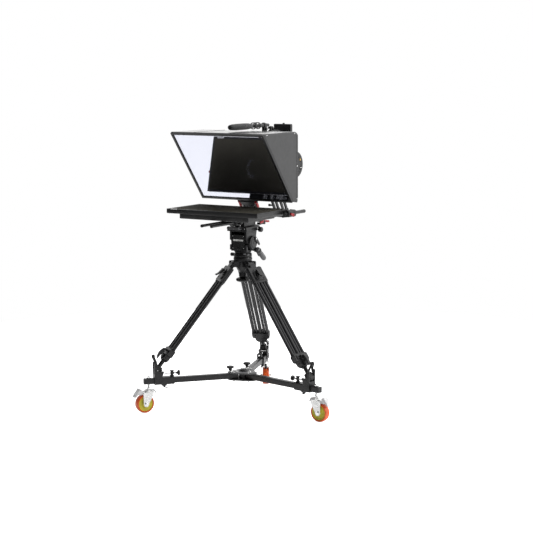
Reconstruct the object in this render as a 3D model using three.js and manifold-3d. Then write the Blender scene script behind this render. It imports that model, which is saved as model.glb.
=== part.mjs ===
// Studio teleprompter on a three-wheeled dolly: casters, tripod, fluid head, rod rig, monitor tray,
// glass and hood, and a camcorder behind the hood. Millimetres, +Z up.
// Everything is drawn round the tripod's axis: the reader stands at -Y, floor at z = 0.
// At the end the whole group moves so that its bounding box stands centred on the origin.
import * as THREE from 'three';
import { mergeVertices } from 'three/addons/utils/BufferGeometryUtils.js';
import Module from 'manifold-3d';

const wasm = await Module();
wasm.setup();

// ---- Driving dimensions ----------------------------------------------------------------------
const GAP = 0.4; // clearance between pieces that touch
const RADIAL_SIDES = 20; // facets on ordinary round pieces

// Dolly. Each entry: arm heading and the heading that the caster trails towards.
const ARMS = {
  back: { heading: 108.65, trail: 122 },
  left: { heading: 228.65, trail: 242 },
  right: { heading: 348.65, trail: 354 },
};
const ARM = { start: 32, end: 545, half: 15, floor: 152, top: 182 };
const HUB_KNOB = { fromAxis: 74, stem: 5, hole: 5.6 }; // on two of the arms
const HUB = { column: 26, tipCentre: 54, tipRadius: 34, plate: 5.6 };
const SWIVEL_RADIUS = 523; // caster stem's distance from the tripod axis

// Casters
const WHEEL = { radius: 50, half: 19, bore: 6, boss: 16, web: 11, trail: 25, sides: 24 };
const FORK = { inner: 21.2, plate: 3.5, crown: 104, top: 112, stem: 6 };
const BRAKE_PIN = { x: 36, z: 107, radius: 3, sleeve: 6, half: 20, pedal: 16 };

// Foot holders that slide on the arms
const HOLDER = { start: 375, end: 495, half: 21, floor: 147, top: 187, cheek: [18.4, 25], bridge: 20 };
const SCREW = { z: 203, radius: 3.5, knob: 14, start: 353, grip: 372, tip: 435.5 };

// Tripod
const HIP = { radius: 56, z: 776 }; // hinge of each leg
const LEG_TILT = 37.5; // degrees from vertical
const LEG_LENGTH = 698; // hip to foot
const LEG_HALF = 50; // half width of the shoulder and of the collar
const OUTER_TUBE = { offset: 41, radius: 8 };
const INNER_TUBE = { offset: 22, radius: 6.5 };
const CENTRE_TUBE = { radius: 11, top: -104 };
const FOOT = { radius: 15, half: 17 };
const SHOULDER = { top: -24, wide: -50, bottom: -120, eye: 20 };
const COLLAR = { top: -560, step: -600, bottom: -632 };
const CROWN = { neck: 22, shell: 38, floor: 704, ring: 49, ringFloor: 790, ringTop: 812, bore: 8 };
const CLEVIS = { inner: 20.5, outer: 29, pin: 4, reach: 14, below: 16 };
const TIE_DOWN = { floor: 677, radius: 36, bolt: 7, top: 738 };
const LEVER_PIN = { radius: 6.5, upper: [25.5, -56], lower: [26, -578] };

// Fluid head
const BASE = { radius: 48, neck: 43, top: 838 };
const PAN_LOCK = { z: 820, radius: 9, stem: 4, end: -76 };
const TILT_AXIS = { y: 5, z: 890 };
const HEAD = { half: 40, front: -42, back: 52, floor: 846, dome: 50, spindle: 13, drum: 22 };
const CHEEK = { outer: 53, radius: 38 };
const PLATFORM = { half: 62, front: -60, back: 75, floor: 952, deck: 963, top: 976 };
const DIAL = { radius: 36, start: 54.4, end: 68 };
const PLATE_KNOB = { y: 49, z: 957.5, stem: 3.6, radius: 13, end: 92 };
const HANDLE = { x: 70, pivot: [40, 848], tip: [100, 796] }; // pivot and tip as (y, z)
const SLIDE_PLATE = { half: 34.6, neck: 30, reach: 95, top: 977.6 };

// Rod rig
const ROD = { radius: 7.5, spacing: 60, front: -345, back: 440, z: 1007 };
const CLAMP_HALF = 46; // half width of every block that grips the two rods

// Glass and hood. The glass rises from its lower edge towards the reader.
const GLASS_FOOT = { y: 43, z: 1113 };
const GLASS_LENGTH = 466;
const GLASS_SLOPE = 51.34; // degrees from horizontal
const RIG_HALF = 286; // half width of frame and hood
const FRAME_EDGE = 12; // width of the frame's bars
const FRAME_HALF = 6; // half their thickness
const HOOD = { top: 1480, back: 94, wall: 3 };
const HINGE_DROP = 13; // hinge line below the glass's lower edge, measured down the slope

// Monitor tray
const TRAY = { half: 282, front: -301, back: 2, top: 1081, lip: 1057, boxHalf: 214, floor: 1030, rim: 12 };
const SCREEN_DEPTH = 4; // recess in the tray that holds the screen
const SIDE_ROD = { x: 302, z: 1060, radius: 9.5, front: -70, back: 136 };
const TRAY_SCREW = { y: -107, z: 1070, radius: 6, stem: 2.5, end: -292 }; // on the tray's left edge

// Camera
const CAMERA = { half: 70, front: 205, back: 450, floor: 1192.4, top: 1335 };
const GRIP = { radius: 72, end: 92, y: 405, z: 1282 }; // round hand grip on the camera's right side
const HANDLE_BAR = { half: 16, post: 14, floor: 1446, top: 1468, rear: 400 };
const MONITOR_HINGE = { y: 415, z: 1434, pin: 3, knuckle: 7, lug: 9 };
const FLIP_MONITOR = { half: 55, front: 404, back: 426, floor: 1443, top: 1503 };
const LENS = { z: 1270, radius: 46, front: 125 };
const RISER_LEAN = 30; // degrees its posts lean forward
const MIC = { z: 1503, radius: 16, front: -124, back: 88, tube: 10, end: 262 };

// ---- Materials ---------------------------------------------------------------------------------
function paint(color, roughness, metalness) {
  return new THREE.MeshStandardMaterial({ color, roughness, metalness });
}

const material = {
  blackMetal: paint(0x1b1b1d, 0.5, 0.4),
  blackPlastic: paint(0x141415, 0.6, 0),
  greyMetal: paint(0x6a6a6c, 0.45, 0.6),
  zinc: paint(0xd6d6d2, 0.25, 0.9),
  tread: paint(0xd4521c, 0.55, 0),
  red: paint(0xc01818, 0.4, 0.2),
  glass: paint(0xd8dcf0, 0.05, 0),
  screen: paint(0x2a2622, 0.2, 0),
  fabric: paint(0x222224, 0.85, 0),
};

// ---- Small tools -------------------------------------------------------------------------------
const radians = THREE.MathUtils.degToRad;

function signedVolume(points, triangles) {
  const corner = [new THREE.Vector3(), new THREE.Vector3(), new THREE.Vector3()];
  let total = 0;
  for (let i = 0; i < triangles.length; i += 3) {
    corner.forEach((vertex, k) => vertex.fromArray(points, triangles[i + k] * 3));
    total += corner[0].dot(corner[1].cross(corner[2]));
  }
  return total;
}

// A three.js geometry as a closed solid that can be joined and cut.
function solid(geometry) {
  geometry.deleteAttribute('normal');
  geometry.deleteAttribute('uv');
  const merged = mergeVertices(geometry, 1e-4);
  const vertProperties = merged.attributes.position.array;
  const triVerts = Uint32Array.from(merged.index.array);
  if (signedVolume(vertProperties, triVerts) < 0) triVerts.reverse();
  return new wasm.Manifold(new wasm.Mesh({ numProp: 3, vertProperties, triVerts }));
}

function join(...solids) {
  return solids.reduce((whole, piece) => whole.add(piece));
}

function cut(body, ...tools) {
  return tools.reduce((left, tool) => left.subtract(tool), body);
}

// A block between two limits on each axis.
function block([x0, x1], [y0, y1], [z0, z1]) {
  const geometry = new THREE.BoxGeometry(x1 - x0, y1 - y0, z1 - z0);
  return solid(geometry.translate((x0 + x1) / 2, (y0 + y1) / 2, (z0 + z1) / 2));
}

// A round bar along x, y or z between two limits. The last two numbers are its place on the other axes.
function bar(axis, radius, [start, end], a, b, sides = RADIAL_SIDES) {
  const geometry = new THREE.CylinderGeometry(radius, radius, end - start, sides);
  const middle = (start + end) / 2;
  if (axis === 'x') geometry.rotateZ(-Math.PI / 2).translate(middle, a, b);
  if (axis === 'y') geometry.translate(a, middle, b);
  if (axis === 'z') geometry.rotateX(Math.PI / 2).translate(a, b, middle);
  return solid(geometry);
}

// A turned piece about the z axis, from [radius, height] points.
function turned(profile, sides = 28) {
  const points = profile.map(([radius, height]) => new THREE.Vector2(radius, height));
  return solid(new THREE.LatheGeometry(points, sides).rotateX(Math.PI / 2));
}

function outline(points) {
  return new THREE.Shape(points.map(([u, v]) => new THREE.Vector2(u, v)));
}

// A flat shape thickened along one axis: 'x' reads it as (y, z), 'y' as (x, z) and 'z' as (x, y).
function prism(axis, shape, [start, end], curveSegments = 8) {
  const options = { depth: end - start, bevelEnabled: false, curveSegments };
  const geometry = new THREE.ExtrudeGeometry(shape, options);
  const turn = new THREE.Matrix4();
  if (axis === 'x') turn.makeBasis(unit(0, 1, 0), unit(0, 0, 1), unit(1, 0, 0)).setPosition(start, 0, 0);
  if (axis === 'y') turn.makeBasis(unit(1, 0, 0), unit(0, 0, 1), unit(0, -1, 0)).setPosition(0, end, 0);
  if (axis === 'z') turn.makeTranslation(0, 0, start);
  return solid(geometry.applyMatrix4(turn));
}

function unit(x, y, z) {
  return new THREE.Vector3(x, y, z);
}

function named(name, body, look) {
  const { vertProperties, triVerts } = body.getMesh();
  const geometry = new THREE.BufferGeometry();
  geometry.setAttribute('position', new THREE.BufferAttribute(vertProperties, 3));
  geometry.setIndex(new THREE.BufferAttribute(triVerts, 1));
  geometry.computeVertexNormals();
  const mesh = new THREE.Mesh(geometry, look);
  mesh.name = name;
  return mesh;
}

function gather(parent, ...children) {
  parent.add(...children);
  return parent;
}

// A group whose x axis points outward along a heading.
function facing(heading) {
  const group = new THREE.Group();
  group.rotation.z = radians(heading);
  return group;
}

// ---- Dolly -------------------------------------------------------------------------------------
// Plate outline: a triangle with round tips, one over each arm.
function hubOutline() {
  const shape = new THREE.Shape();
  for (const { heading } of Object.values(ARMS)) {
    const angle = radians(heading);
    const x = HUB.tipCentre * Math.cos(angle);
    const y = HUB.tipCentre * Math.sin(angle);
    shape.absarc(x, y, HUB.tipRadius, angle - Math.PI / 3, angle + Math.PI / 3, false);
  }
  return shape;
}

function hubHousing() {
  const lower = ARM.floor - GAP;
  const upper = ARM.top + GAP;
  const shape = hubOutline();
  let hub = join(
    prism('z', shape, [lower - HUB.plate, lower], 5),
    prism('z', shape, [upper, upper + HUB.plate], 5),
    turned([[0, 136], [20, 136], [HUB.column, 142], [HUB.column, 190], [21, 190], [21, 195], [0, 201]], 20),
  );
  for (const side of ['left', 'back']) {
    const angle = radians(ARMS[side].heading);
    const x = HUB_KNOB.fromAxis * Math.cos(angle);
    const y = HUB_KNOB.fromAxis * Math.sin(angle);
    hub = cut(hub, bar('z', HUB_KNOB.hole, [upper - 1, upper + 9], x, y, 14));
  }
  return named('hub_housing', hub, material.greyMetal);
}

function armTube(side) {
  const tube = block([ARM.start, ARM.end], [-ARM.half, ARM.half], [ARM.floor, ARM.top]);
  const stemHole = bar('z', FORK.stem + 1, [ARM.floor - 1, ARM.top - 5], SWIVEL_RADIUS, 0, 16);
  const bored = cut(tube, stemHole);
  if (side === 'right') return named(`arm_${side}`, bored, material.blackMetal);
  const knobHole = bar('z', HUB_KNOB.hole, [ARM.floor + 6, ARM.top + 1], HUB_KNOB.fromAxis, 0, 14);
  return named(`arm_${side}`, cut(bored, knobHole), material.blackMetal);
}

function hubKnob(side) {
  const { stem } = HUB_KNOB;
  const profile = [[0, 160], [stem, 160], [stem, 203], [13, 205], [19, 210], [19, 216], [13, 221], [0, 222]];
  const knob = named(`hub_knob_${side}`, turned(profile, 20), material.blackPlastic);
  knob.position.x = HUB_KNOB.fromAxis;
  return knob;
}

function footHolder(side) {
  const { start, end, half, floor, top, bridge } = HOLDER;
  const [inner, outer] = HOLDER.cheek;
  const sleeve = cut(
    block([start, end], [-half, half], [floor, top]),
    block(
      [start - 1, end + 1],
      [-ARM.half - GAP, ARM.half + GAP],
      [ARM.floor - GAP, ARM.top + GAP],
    ),
  );
  const cheekShape = outline([
    [438, 165], [498, 165], [501, 224], [498, 262], [488, 266], [482, 258], [478, 228], [446, 223],
    [438, 208],
  ]);
  const screwLug = cut(
    block([386, 406], [-12, 12], [top - 1, SCREW.z + 10]),
    bar('x', SCREW.radius + 0.8, [380, 410], 0, SCREW.z, 12),
  );
  const holder = join(
    sleeve,
    prism('y', cheekShape, [inner, outer]),
    prism('y', cheekShape, [-outer, -inner]),
    block([436, 446], [-bridge, bridge], [top - 1, 215]),
    block([470, 494], [-bridge, bridge], [top - 1, 204]),
    screwLug,
    block([408, 440], [-10, 10], [134, floor + 1]),
  );
  return named(`foot_holder_${side}`, holder, material.blackMetal);
}

function footScrew(side) {
  const screw = join(
    bar('x', SCREW.knob, [SCREW.start, SCREW.grip], 0, SCREW.z, 16),
    bar('x', SCREW.radius, [SCREW.grip - 1, SCREW.tip], 0, SCREW.z, 12),
  );
  return named(`foot_screw_${side}`, screw, material.blackPlastic);
}

// ---- Casters: drawn with the swivel on the z axis and the wheel trailing towards +x ---------------
function casterFork(side) {
  const legShape = outline([
    [-21, 112], [42, 112], [42, 98], [40, 54], [36, 40], [28, 34], [20, 35], [12, 43], [-14, 88],
  ]);
  const outer = FORK.inner + FORK.plate;
  const fork = join(
    prism('y', legShape, [FORK.inner, outer]),
    prism('y', legShape, [-outer, -FORK.inner]),
    block([-20, 20], [-outer, outer], [FORK.crown, FORK.top]),
    turned([[0, 110], [26, 110], [26, 119], [12, 126], [FORK.stem, 126], [FORK.stem, 176], [0, 176]], 16),
    bar('y', WHEEL.bore - 0.8, [-outer - 4, outer + 4], WHEEL.trail, WHEEL.radius, 14),
    bar('y', BRAKE_PIN.radius, [-outer, outer], BRAKE_PIN.x, BRAKE_PIN.z, 10),
  );
  return named(`caster_fork_${side}`, fork, material.zinc);
}

function casterWheel(side) {
  const { bore, boss, web, half, radius: rim } = WHEEL;
  const oneSide = [[bore, boss], [14, boss], [16, web], [38, web], [43, half], [rim, 12]];
  const otherSide = oneSide.map(([radius, width]) => [radius, -width]).reverse();
  const profile = [...oneSide, ...otherSide, oneSide[0]];
  const points = profile.map(([radius, width]) => new THREE.Vector2(radius, width));
  const tyre = solid(new THREE.LatheGeometry(points, WHEEL.sides));
  const wheel = named(`caster_wheel_${side}`, tyre, material.tread);
  wheel.position.set(WHEEL.trail, 0, WHEEL.radius);
  return wheel;
}

function casterBrake(side) {
  const pedalShape = outline([
    [34, 113], [44, 114], [50, 128], [59, 130], [63, 116], [78, 105], [85, 87], [79, 84], [70, 97],
    [56, 104], [42, 103],
  ]);
  const pedal = cut(
    join(
      bar('y', BRAKE_PIN.sleeve, [-BRAKE_PIN.half, BRAKE_PIN.half], BRAKE_PIN.x, BRAKE_PIN.z, 14),
      prism('y', pedalShape, [-BRAKE_PIN.pedal, BRAKE_PIN.pedal]),
    ),
    bar('y', BRAKE_PIN.radius + 0.8, [-22, 22], BRAKE_PIN.x, BRAKE_PIN.z, 14),
  );
  return named(`caster_brake_${side}`, pedal, material.greyMetal);
}

function caster(side) {
  const group = facing(ARMS[side].trail);
  const heading = radians(ARMS[side].heading);
  group.position.set(SWIVEL_RADIUS * Math.cos(heading), SWIVEL_RADIUS * Math.sin(heading), 0);
  return gather(group, casterFork(side), casterWheel(side), casterBrake(side));
}

function dolly() {
  const group = gather(new THREE.Group(), hubHousing());
  for (const side of Object.keys(ARMS)) {
    const arm = gather(facing(ARMS[side].heading), armTube(side), footHolder(side), footScrew(side));
    if (side !== 'right') arm.add(hubKnob(side));
    group.add(arm, caster(side));
  }
  return group;
}

// ---- Tripod ------------------------------------------------------------------------------------
function crown() {
  const { neck, shell, floor, ring, ringFloor, ringTop, bore } = CROWN;
  const { inner, outer, pin, reach, below } = CLEVIS;
  let body = turned([
    [0, floor], [neck, floor], [neck, 730], [28, 738], [shell, 762], [shell, ringFloor], [ring, ringFloor],
    [ring, ringTop], [0, ringTop],
  ], 24);
  body = cut(body, bar('z', bore, [floor - 4, TIE_DOWN.top + 4], 0, 0, 16));
  for (const { heading } of Object.values(ARMS)) {
    const clevis = join(
      block([neck, HIP.radius + reach], [inner, outer], [HIP.z - below, ringFloor + 1]),
      block([neck, HIP.radius + reach], [-outer, -inner], [HIP.z - below, ringFloor + 1]),
      bar('y', pin, [-outer, outer], HIP.radius, HIP.z, 12),
    );
    body = body.add(clevis.rotate([0, 0, heading]));
  }
  return named('crown', body, material.blackMetal);
}

function tieDownKnob() {
  const { floor, radius, bolt, top } = TIE_DOWN;
  const profile = [
    [0, floor], [30, floor], [radius, 681], [radius, 695], [24, 701], [12, 703], [bolt, 703.5], [bolt, top],
    [0, top],
  ];
  return named('tie_down_knob', turned(profile, 24), material.blackPlastic);
}

// Leg pieces are drawn hanging straight down from the hip: x outward, y across, z up the leg.
function legUpper(side) {
  const { top, wide, bottom, eye } = SHOULDER;
  const shoulderShape = outline([
    [-20, top], [-LEG_HALF, wide], [-LEG_HALF, bottom], [LEG_HALF, bottom], [LEG_HALF, wide], [20, top],
  ]);
  const collarShape = outline([
    [-LEG_HALF, COLLAR.top], [-LEG_HALF, COLLAR.step], [-33, COLLAR.step - 5], [-33, COLLAR.bottom + 12],
    [-19, COLLAR.bottom], [19, COLLAR.bottom], [33, COLLAR.bottom + 12], [33, COLLAR.step - 5],
    [LEG_HALF, COLLAR.step], [LEG_HALF, COLLAR.top],
  ]);
  const parts = [
    bar('y', 12, [-eye, eye], 0, 0, 16),
    block([-11, 11], [-eye, eye], [top - 10, 0]),
    prism('x', shoulderShape, [-15, 17]),
    prism('x', collarShape, [-16, 18]),
  ];
  for (const tube of [OUTER_TUBE, INNER_TUBE]) {
    for (const offset of [-tube.offset, tube.offset]) {
      parts.push(bar('z', tube.radius, [COLLAR.top - 10, bottom + 10], 0, offset, 12));
    }
  }
  const guide = CENTRE_TUBE.radius + 0.7;
  const leg = cut(
    join(...parts),
    bar('y', CLEVIS.pin + 0.7, [-30, 30], 0, 0, 12),
    bar('z', guide, [COLLAR.bottom - 1, COLLAR.top + 1], 0, 0, 16),
    bar('z', guide, [bottom - 1, -58], 0, 0, 16),
  );
  return named(`leg_upper_${side}`, leg, material.blackMetal);
}

function legLower(side) {
  const leg = join(
    bar('z', CENTRE_TUBE.radius, [-LEG_LENGTH + 20, CENTRE_TUBE.top], 0, 0, 16),
    block([-13, 13], [-FOOT.half, FOOT.half], [-LEG_LENGTH, -LEG_LENGTH + 28]),
    bar('y', FOOT.radius, [-FOOT.half, FOOT.half], 0, -LEG_LENGTH, 16),
  );
  return named(`leg_lower_${side}`, leg, material.blackMetal);
}

function upperLever(side) {
  const blade = outline([[20, -56], [31, -54], [34, -90], [41, -115], [35, -118], [26, -96], [20, -76]]);
  const [x, z] = LEVER_PIN.upper;
  const lever = join(bar('y', LEVER_PIN.radius, [-14, 14], x, z, 12), prism('y', blade, [-14, 14]));
  return named(`upper_lever_${side}`, lever, material.blackPlastic);
}

function lowerLever(side) {
  const blade = outline([
    [19.5, -576], [29, -570], [43, -580], [54, -598], [57, -616], [51, -634], [38, -645], [34, -638],
    [43, -628], [46, -614], [42, -600], [33, -592], [19.5, -592],
  ]);
  const [x, z] = LEVER_PIN.lower;
  const lever = join(bar('y', LEVER_PIN.radius, [-16, 16], x, z, 12), prism('y', blade, [-16, 16]));
  return named(`lower_lever_${side}`, lever, material.blackPlastic);
}

function tripodLeg(side) {
  const swing = new THREE.Group();
  swing.position.set(HIP.radius, 0, HIP.z);
  swing.rotation.y = -radians(LEG_TILT);
  gather(swing, legUpper(side), legLower(side), upperLever(side), lowerLever(side));
  return gather(facing(ARMS[side].heading), swing);
}

function tripod() {
  return gather(new THREE.Group(), crown(), tieDownKnob(), ...Object.keys(ARMS).map(tripodLeg));
}

// ---- Fluid head --------------------------------------------------------------------------------
function headBase() {
  const floor = CROWN.ringTop + GAP;
  const { radius, neck, top } = BASE;
  const base = turned([[0, floor], [radius, floor], [radius, 832], [neck, 834], [neck, top], [0, top]]);
  const lockHole = bar('x', PAN_LOCK.stem + 0.8, [-50, -40], 0, PAN_LOCK.z, 12);
  return named('head_base', cut(base, lockHole), material.blackMetal);
}

function panLockKnob() {
  const { z, radius, stem, end } = PAN_LOCK;
  const knob = join(bar('x', radius, [end, -56], 0, z, 14), bar('x', stem, [-57, -42], 0, z, 12));
  return named('pan_lock_knob', knob, material.blackPlastic);
}

function headBody() {
  const { y, z } = TILT_AXIS;
  const { half, front, back, floor, dome, spindle, drum } = HEAD;
  const rise = Math.asin((back - y) / dome);
  const side = new THREE.Shape();
  side.moveTo(front, floor);
  side.lineTo(back, floor);
  side.absarc(y, z, dome, Math.PI / 2 - rise, Math.PI / 2 + rise, false);
  const body = join(
    turned([[0, BASE.top + GAP], [46, BASE.top + GAP], [46, floor + 1], [0, floor + 1]]),
    block([-50, 50], [front, back], [floor - 1, z - CHEEK.radius - 0.6]),
    prism('x', side, [-half, half], 12),
    bar('x', spindle, [-CHEEK.outer - 1, CHEEK.outer + 1], y, z, 20),
    bar('x', drum, [-CHEEK.outer - 11, -CHEEK.outer - GAP], y, z, 20),
    block([half, 53.6], [32, 58], [841, 858]),
  );
  return named('head_body', body, material.blackMetal);
}

function tiltDial() {
  const { y, z } = TILT_AXIS;
  const dial = join(
    bar('x', DIAL.radius, [DIAL.start, DIAL.end], y, z, 28),
    bar('x', 27, [DIAL.end - 1, DIAL.end + 5], y, z, 20),
  );
  return named('tilt_dial', dial, material.greyMetal);
}

function panHandle() {
  const pivot = unit(0, ...HANDLE.pivot);
  const tip = unit(0, ...HANDLE.tip);
  const length = pivot.distanceTo(tip);
  const grip = turned([
    [0, -14], [8, -12], [13, -4], [13, 20], [11, 26], [13, 32], [14, length - 4], [11, length + 5],
    [0, length + 9],
  ], 16);
  const lean = THREE.MathUtils.radToDeg(Math.atan2(tip.y - pivot.y, tip.z - pivot.z));
  const handle = grip.rotate([-lean, 0, 0]).translate([HANDLE.x, pivot.y, pivot.z]);
  return named('pan_handle', join(handle, bar('x', 12, [54, 62], pivot.y, pivot.z, 16)), material.greyMetal);
}

function tiltPlatform() {
  const { y, z } = TILT_AXIS;
  const { half, front, back, floor, deck, top } = PLATFORM;
  const cheekShape = new THREE.Shape();
  cheekShape.moveTo(57, floor + 1);
  cheekShape.lineTo(-46, floor + 1);
  cheekShape.absarc(y, z, CHEEK.radius, Math.PI, 2 * Math.PI, false);
  const inner = HEAD.half + 0.6;
  const platform = cut(
    join(
      block([-half, half], [front, back], [floor, deck]),
      block([SLIDE_PLATE.half + 0.6, half], [front, back], [deck - 1, top]),
      block([-half, -SLIDE_PLATE.half - 0.6], [front, back], [deck - 1, top]),
      prism('x', cheekShape, [inner, CHEEK.outer], 14),
      prism('x', cheekShape, [-CHEEK.outer, -inner], 14),
    ),
    bar('x', HEAD.spindle + 0.7, [-60, 60], y, z, 20),
    bar('x', PLATE_KNOB.stem + 0.8, [54, 70], PLATE_KNOB.y, PLATE_KNOB.z, 12),
  );
  return named('tilt_platform', platform, material.blackMetal);
}

function plateKnob() {
  const { y, z, stem, radius, end } = PLATE_KNOB;
  const knob = join(bar('x', stem, [55, 71], y, z, 12), bar('x', radius, [70, end], y, z, 16));
  return named('plate_knob', knob, material.blackPlastic);
}

function slidePlate() {
  const { half, neck, reach, top } = SLIDE_PLATE;
  const plate = join(
    block([-half, half], [-reach, reach], [PLATFORM.deck + GAP, 973]),
    block([-neck, neck], [-reach, reach], [972, top]),
  );
  return named('slide_plate', plate, material.greyMetal);
}

function fluidHead() {
  return gather(
    new THREE.Group(), headBase(), panLockKnob(), headBody(), tiltDial(), panHandle(), tiltPlatform(),
    plateKnob(), slidePlate(),
  );
}

// ---- Rod rig -----------------------------------------------------------------------------------
function rodHoles([start, end]) {
  return [-1, 1].map((side) => bar('y', ROD.radius + 0.5, [start, end], side * ROD.spacing / 2, ROD.z, 16));
}

function rodClamp([front, back], [floor, top]) {
  const body = block([-CLAMP_HALF, CLAMP_HALF], [front, back], [floor, top]);
  return cut(body, ...rodHoles([front - 1, back + 1]));
}

function railBlock() {
  return named('rail_block', rodClamp([-55, 55], [978, 1021]), material.blackMetal);
}

function railRods() {
  return ['left', 'right'].map((side) => {
    const x = (side === 'left' ? -1 : 1) * ROD.spacing / 2;
    const rod = bar('y', ROD.radius, [ROD.front, ROD.back], x, ROD.z, 16);
    return named(`rail_rod_${side}`, rod, material.blackMetal);
  });
}

// Carries a piece drawn flat, with y up the slope, onto the plane of the glass.
function ontoSlope(body) {
  return body.rotate([180 - GLASS_SLOPE, 0, 0]).translate([0, GLASS_FOOT.y, GLASS_FOOT.z]);
}

function centreBracket() {
  const clampFront = 104;
  const clampBack = 150;
  const arm = join(
    block([-42, 42], [-118, -HINGE_DROP], [-8, 8]),
    bar('x', 8, [-42, 42], -HINGE_DROP, 0, 16),
    bar('x', 3, [-47, 47], -HINGE_DROP, 0, 12),
  );
  const channel = block([-30, 30], [-96, -30], [4, 9]);
  const bracket = join(ontoSlope(cut(arm, channel)), rodClamp([clampFront, clampBack], [990, 1024]));
  return named('centre_bracket', bracket, material.blackMetal);
}

function bracketLever(side) {
  const sign = side === 'left' ? -1 : 1;
  const ends = (start, end) => [sign * start, sign * end].sort((a, b) => a - b);
  const lever = join(
    bar('x', 9, ends(47.6, 58), -HINGE_DROP, 0, 14),
    prism('x', outline([[-16, -6], [-16, 6], [-50, 12], [-56, 4], [-48, -4]]), ends(50, 57)),
  );
  return named(`bracket_lever_${side}`, ontoSlope(lever), material.red);
}

function glassFrame() {
  const opening = RIG_HALF - FRAME_EDGE;
  const frame = cut(
    block([-RIG_HALF, RIG_HALF], [0, GLASS_LENGTH], [-FRAME_HALF, FRAME_HALF]),
    block([-opening, opening], [FRAME_EDGE, GLASS_LENGTH - FRAME_EDGE], [-7, 7]),
  );
  const ear = block([42.6, 47], [-HINGE_DROP - 8, 2], [-FRAME_HALF, FRAME_HALF]);
  const yoke = cut(
    join(frame, ear, ear.mirror([1, 0, 0])),
    bar('x', 3.8, [-50, 50], -HINGE_DROP, 0, 12),
  );
  return named('glass_frame', ontoSlope(yoke), material.blackMetal);
}

function beamSplitter() {
  const inset = FRAME_EDGE + GAP;
  const half = RIG_HALF - inset;
  const pane = block([-half, half], [inset, GLASS_LENGTH - inset], [-1.5, 1.5]);
  return named('beam_splitter', ontoSlope(pane), material.glass);
}

// Side wall outline as (y, z): the sloping edge lies just behind the glass frame.
function hoodOutline(inset) {
  const slope = radians(GLASS_SLOPE);
  const behind = FRAME_HALF + GAP + inset;
  const foot = [GLASS_FOOT.y + behind / Math.sin(slope), GLASS_FOOT.z + inset];
  const run = (HOOD.top - inset - foot[1]) / Math.tan(slope);
  const back = HOOD.back - inset;
  const top = HOOD.top - inset;
  return [foot, [foot[0] - run, top], [back - 12, top], [back, top - 12], [back, 1135], [back - 8, foot[1]]];
}

function hoodShell() {
  const { wall, back } = HOOD;
  const inside = hoodOutline(wall);
  inside[0] = [inside[0][0] - 30, inside[0][1]];
  inside[1] = [inside[1][0] - 30, inside[1][1]];
  const shell = cut(
    prism('x', outline(hoodOutline(0)), [-RIG_HALF, RIG_HALF]),
    prism('x', outline(inside), [-RIG_HALF + wall, RIG_HALF - wall]),
    block([-76, 76], [back - 10, back + 1], [1196, 1346]),
  );
  return named('hood_shell', shell, material.fabric);
}

// ---- Monitor tray ------------------------------------------------------------------------------
function sideClamp() {
  return cut(
    block([TRAY.half - 1, 320], [-76, 49], [1040, 1080]),
    bar('y', SIDE_ROD.radius + 0.6, [-80, 52], SIDE_ROD.x, SIDE_ROD.z, 18),
  );
}

function monitorTray() {
  const { half, front, back, top, lip, boxHalf, floor, rim } = TRAY;
  const body = join(
    block([-half, half], [front, back], [lip, top]),
    block([-boxHalf, boxHalf], [front + 21, back - 22], [floor, lip + 1]),
    rodClamp([-130, -80], [992, floor + 1]),
    sideClamp(),
  );
  const recess = block([-half + rim, half - rim], [front + rim, back - rim], [top - SCREEN_DEPTH, top + 1]);
  const screwHole = bar('x', TRAY_SCREW.stem + 0.7, [-half - 1, -half + 6], TRAY_SCREW.y, TRAY_SCREW.z, 12);
  return named('monitor_tray', cut(body, recess, screwHole), material.blackMetal);
}

function trayScrew() {
  const { y, z, radius, stem, end } = TRAY_SCREW;
  const head = bar('x', radius, [end, -TRAY.half - 2], y, z, 16);
  const shaft = bar('x', stem, [-TRAY.half - 3, -TRAY.half + 5], y, z, 12);
  return named('tray_screw', join(head, shaft), material.red);
}

function monitorScreen() {
  const { half, front, back, top, rim } = TRAY;
  const inset = rim + GAP;
  const ends = [front + inset, back - inset];
  const pane = block([-half + inset, half - inset], ends, [top - SCREEN_DEPTH + GAP, top]);
  return named('monitor_screen', pane, material.screen);
}

function sideRod() {
  const rod = bar('y', SIDE_ROD.radius, [SIDE_ROD.front, SIDE_ROD.back], SIDE_ROD.x, SIDE_ROD.z, 18);
  return named('side_rod', rod, material.blackMetal);
}

// ---- Camera ------------------------------------------------------------------------------------
function cameraRiser() {
  const low = 1014;
  const high = 1186;
  const shift = (high - low) * Math.tan(radians(RISER_LEAN));
  const plate = block([-45, 45], [262, 342], [high - 2, CAMERA.floor - GAP]);
  const parts = [rodClamp([370, 430], [990, 1022]), plate];
  for (const x of [-27, 27]) {
    for (const y of [381, 418]) {
      const post = outline([[y - 5, low], [y + 5, low], [y + 5 - shift, high], [y - 5 - shift, high]]);
      parts.push(prism('x', post, [x - 4, x + 4]));
    }
  }
  return named('camera_riser', cut(join(...parts), ...rodHoles([360, 440])), material.blackMetal);
}

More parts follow.
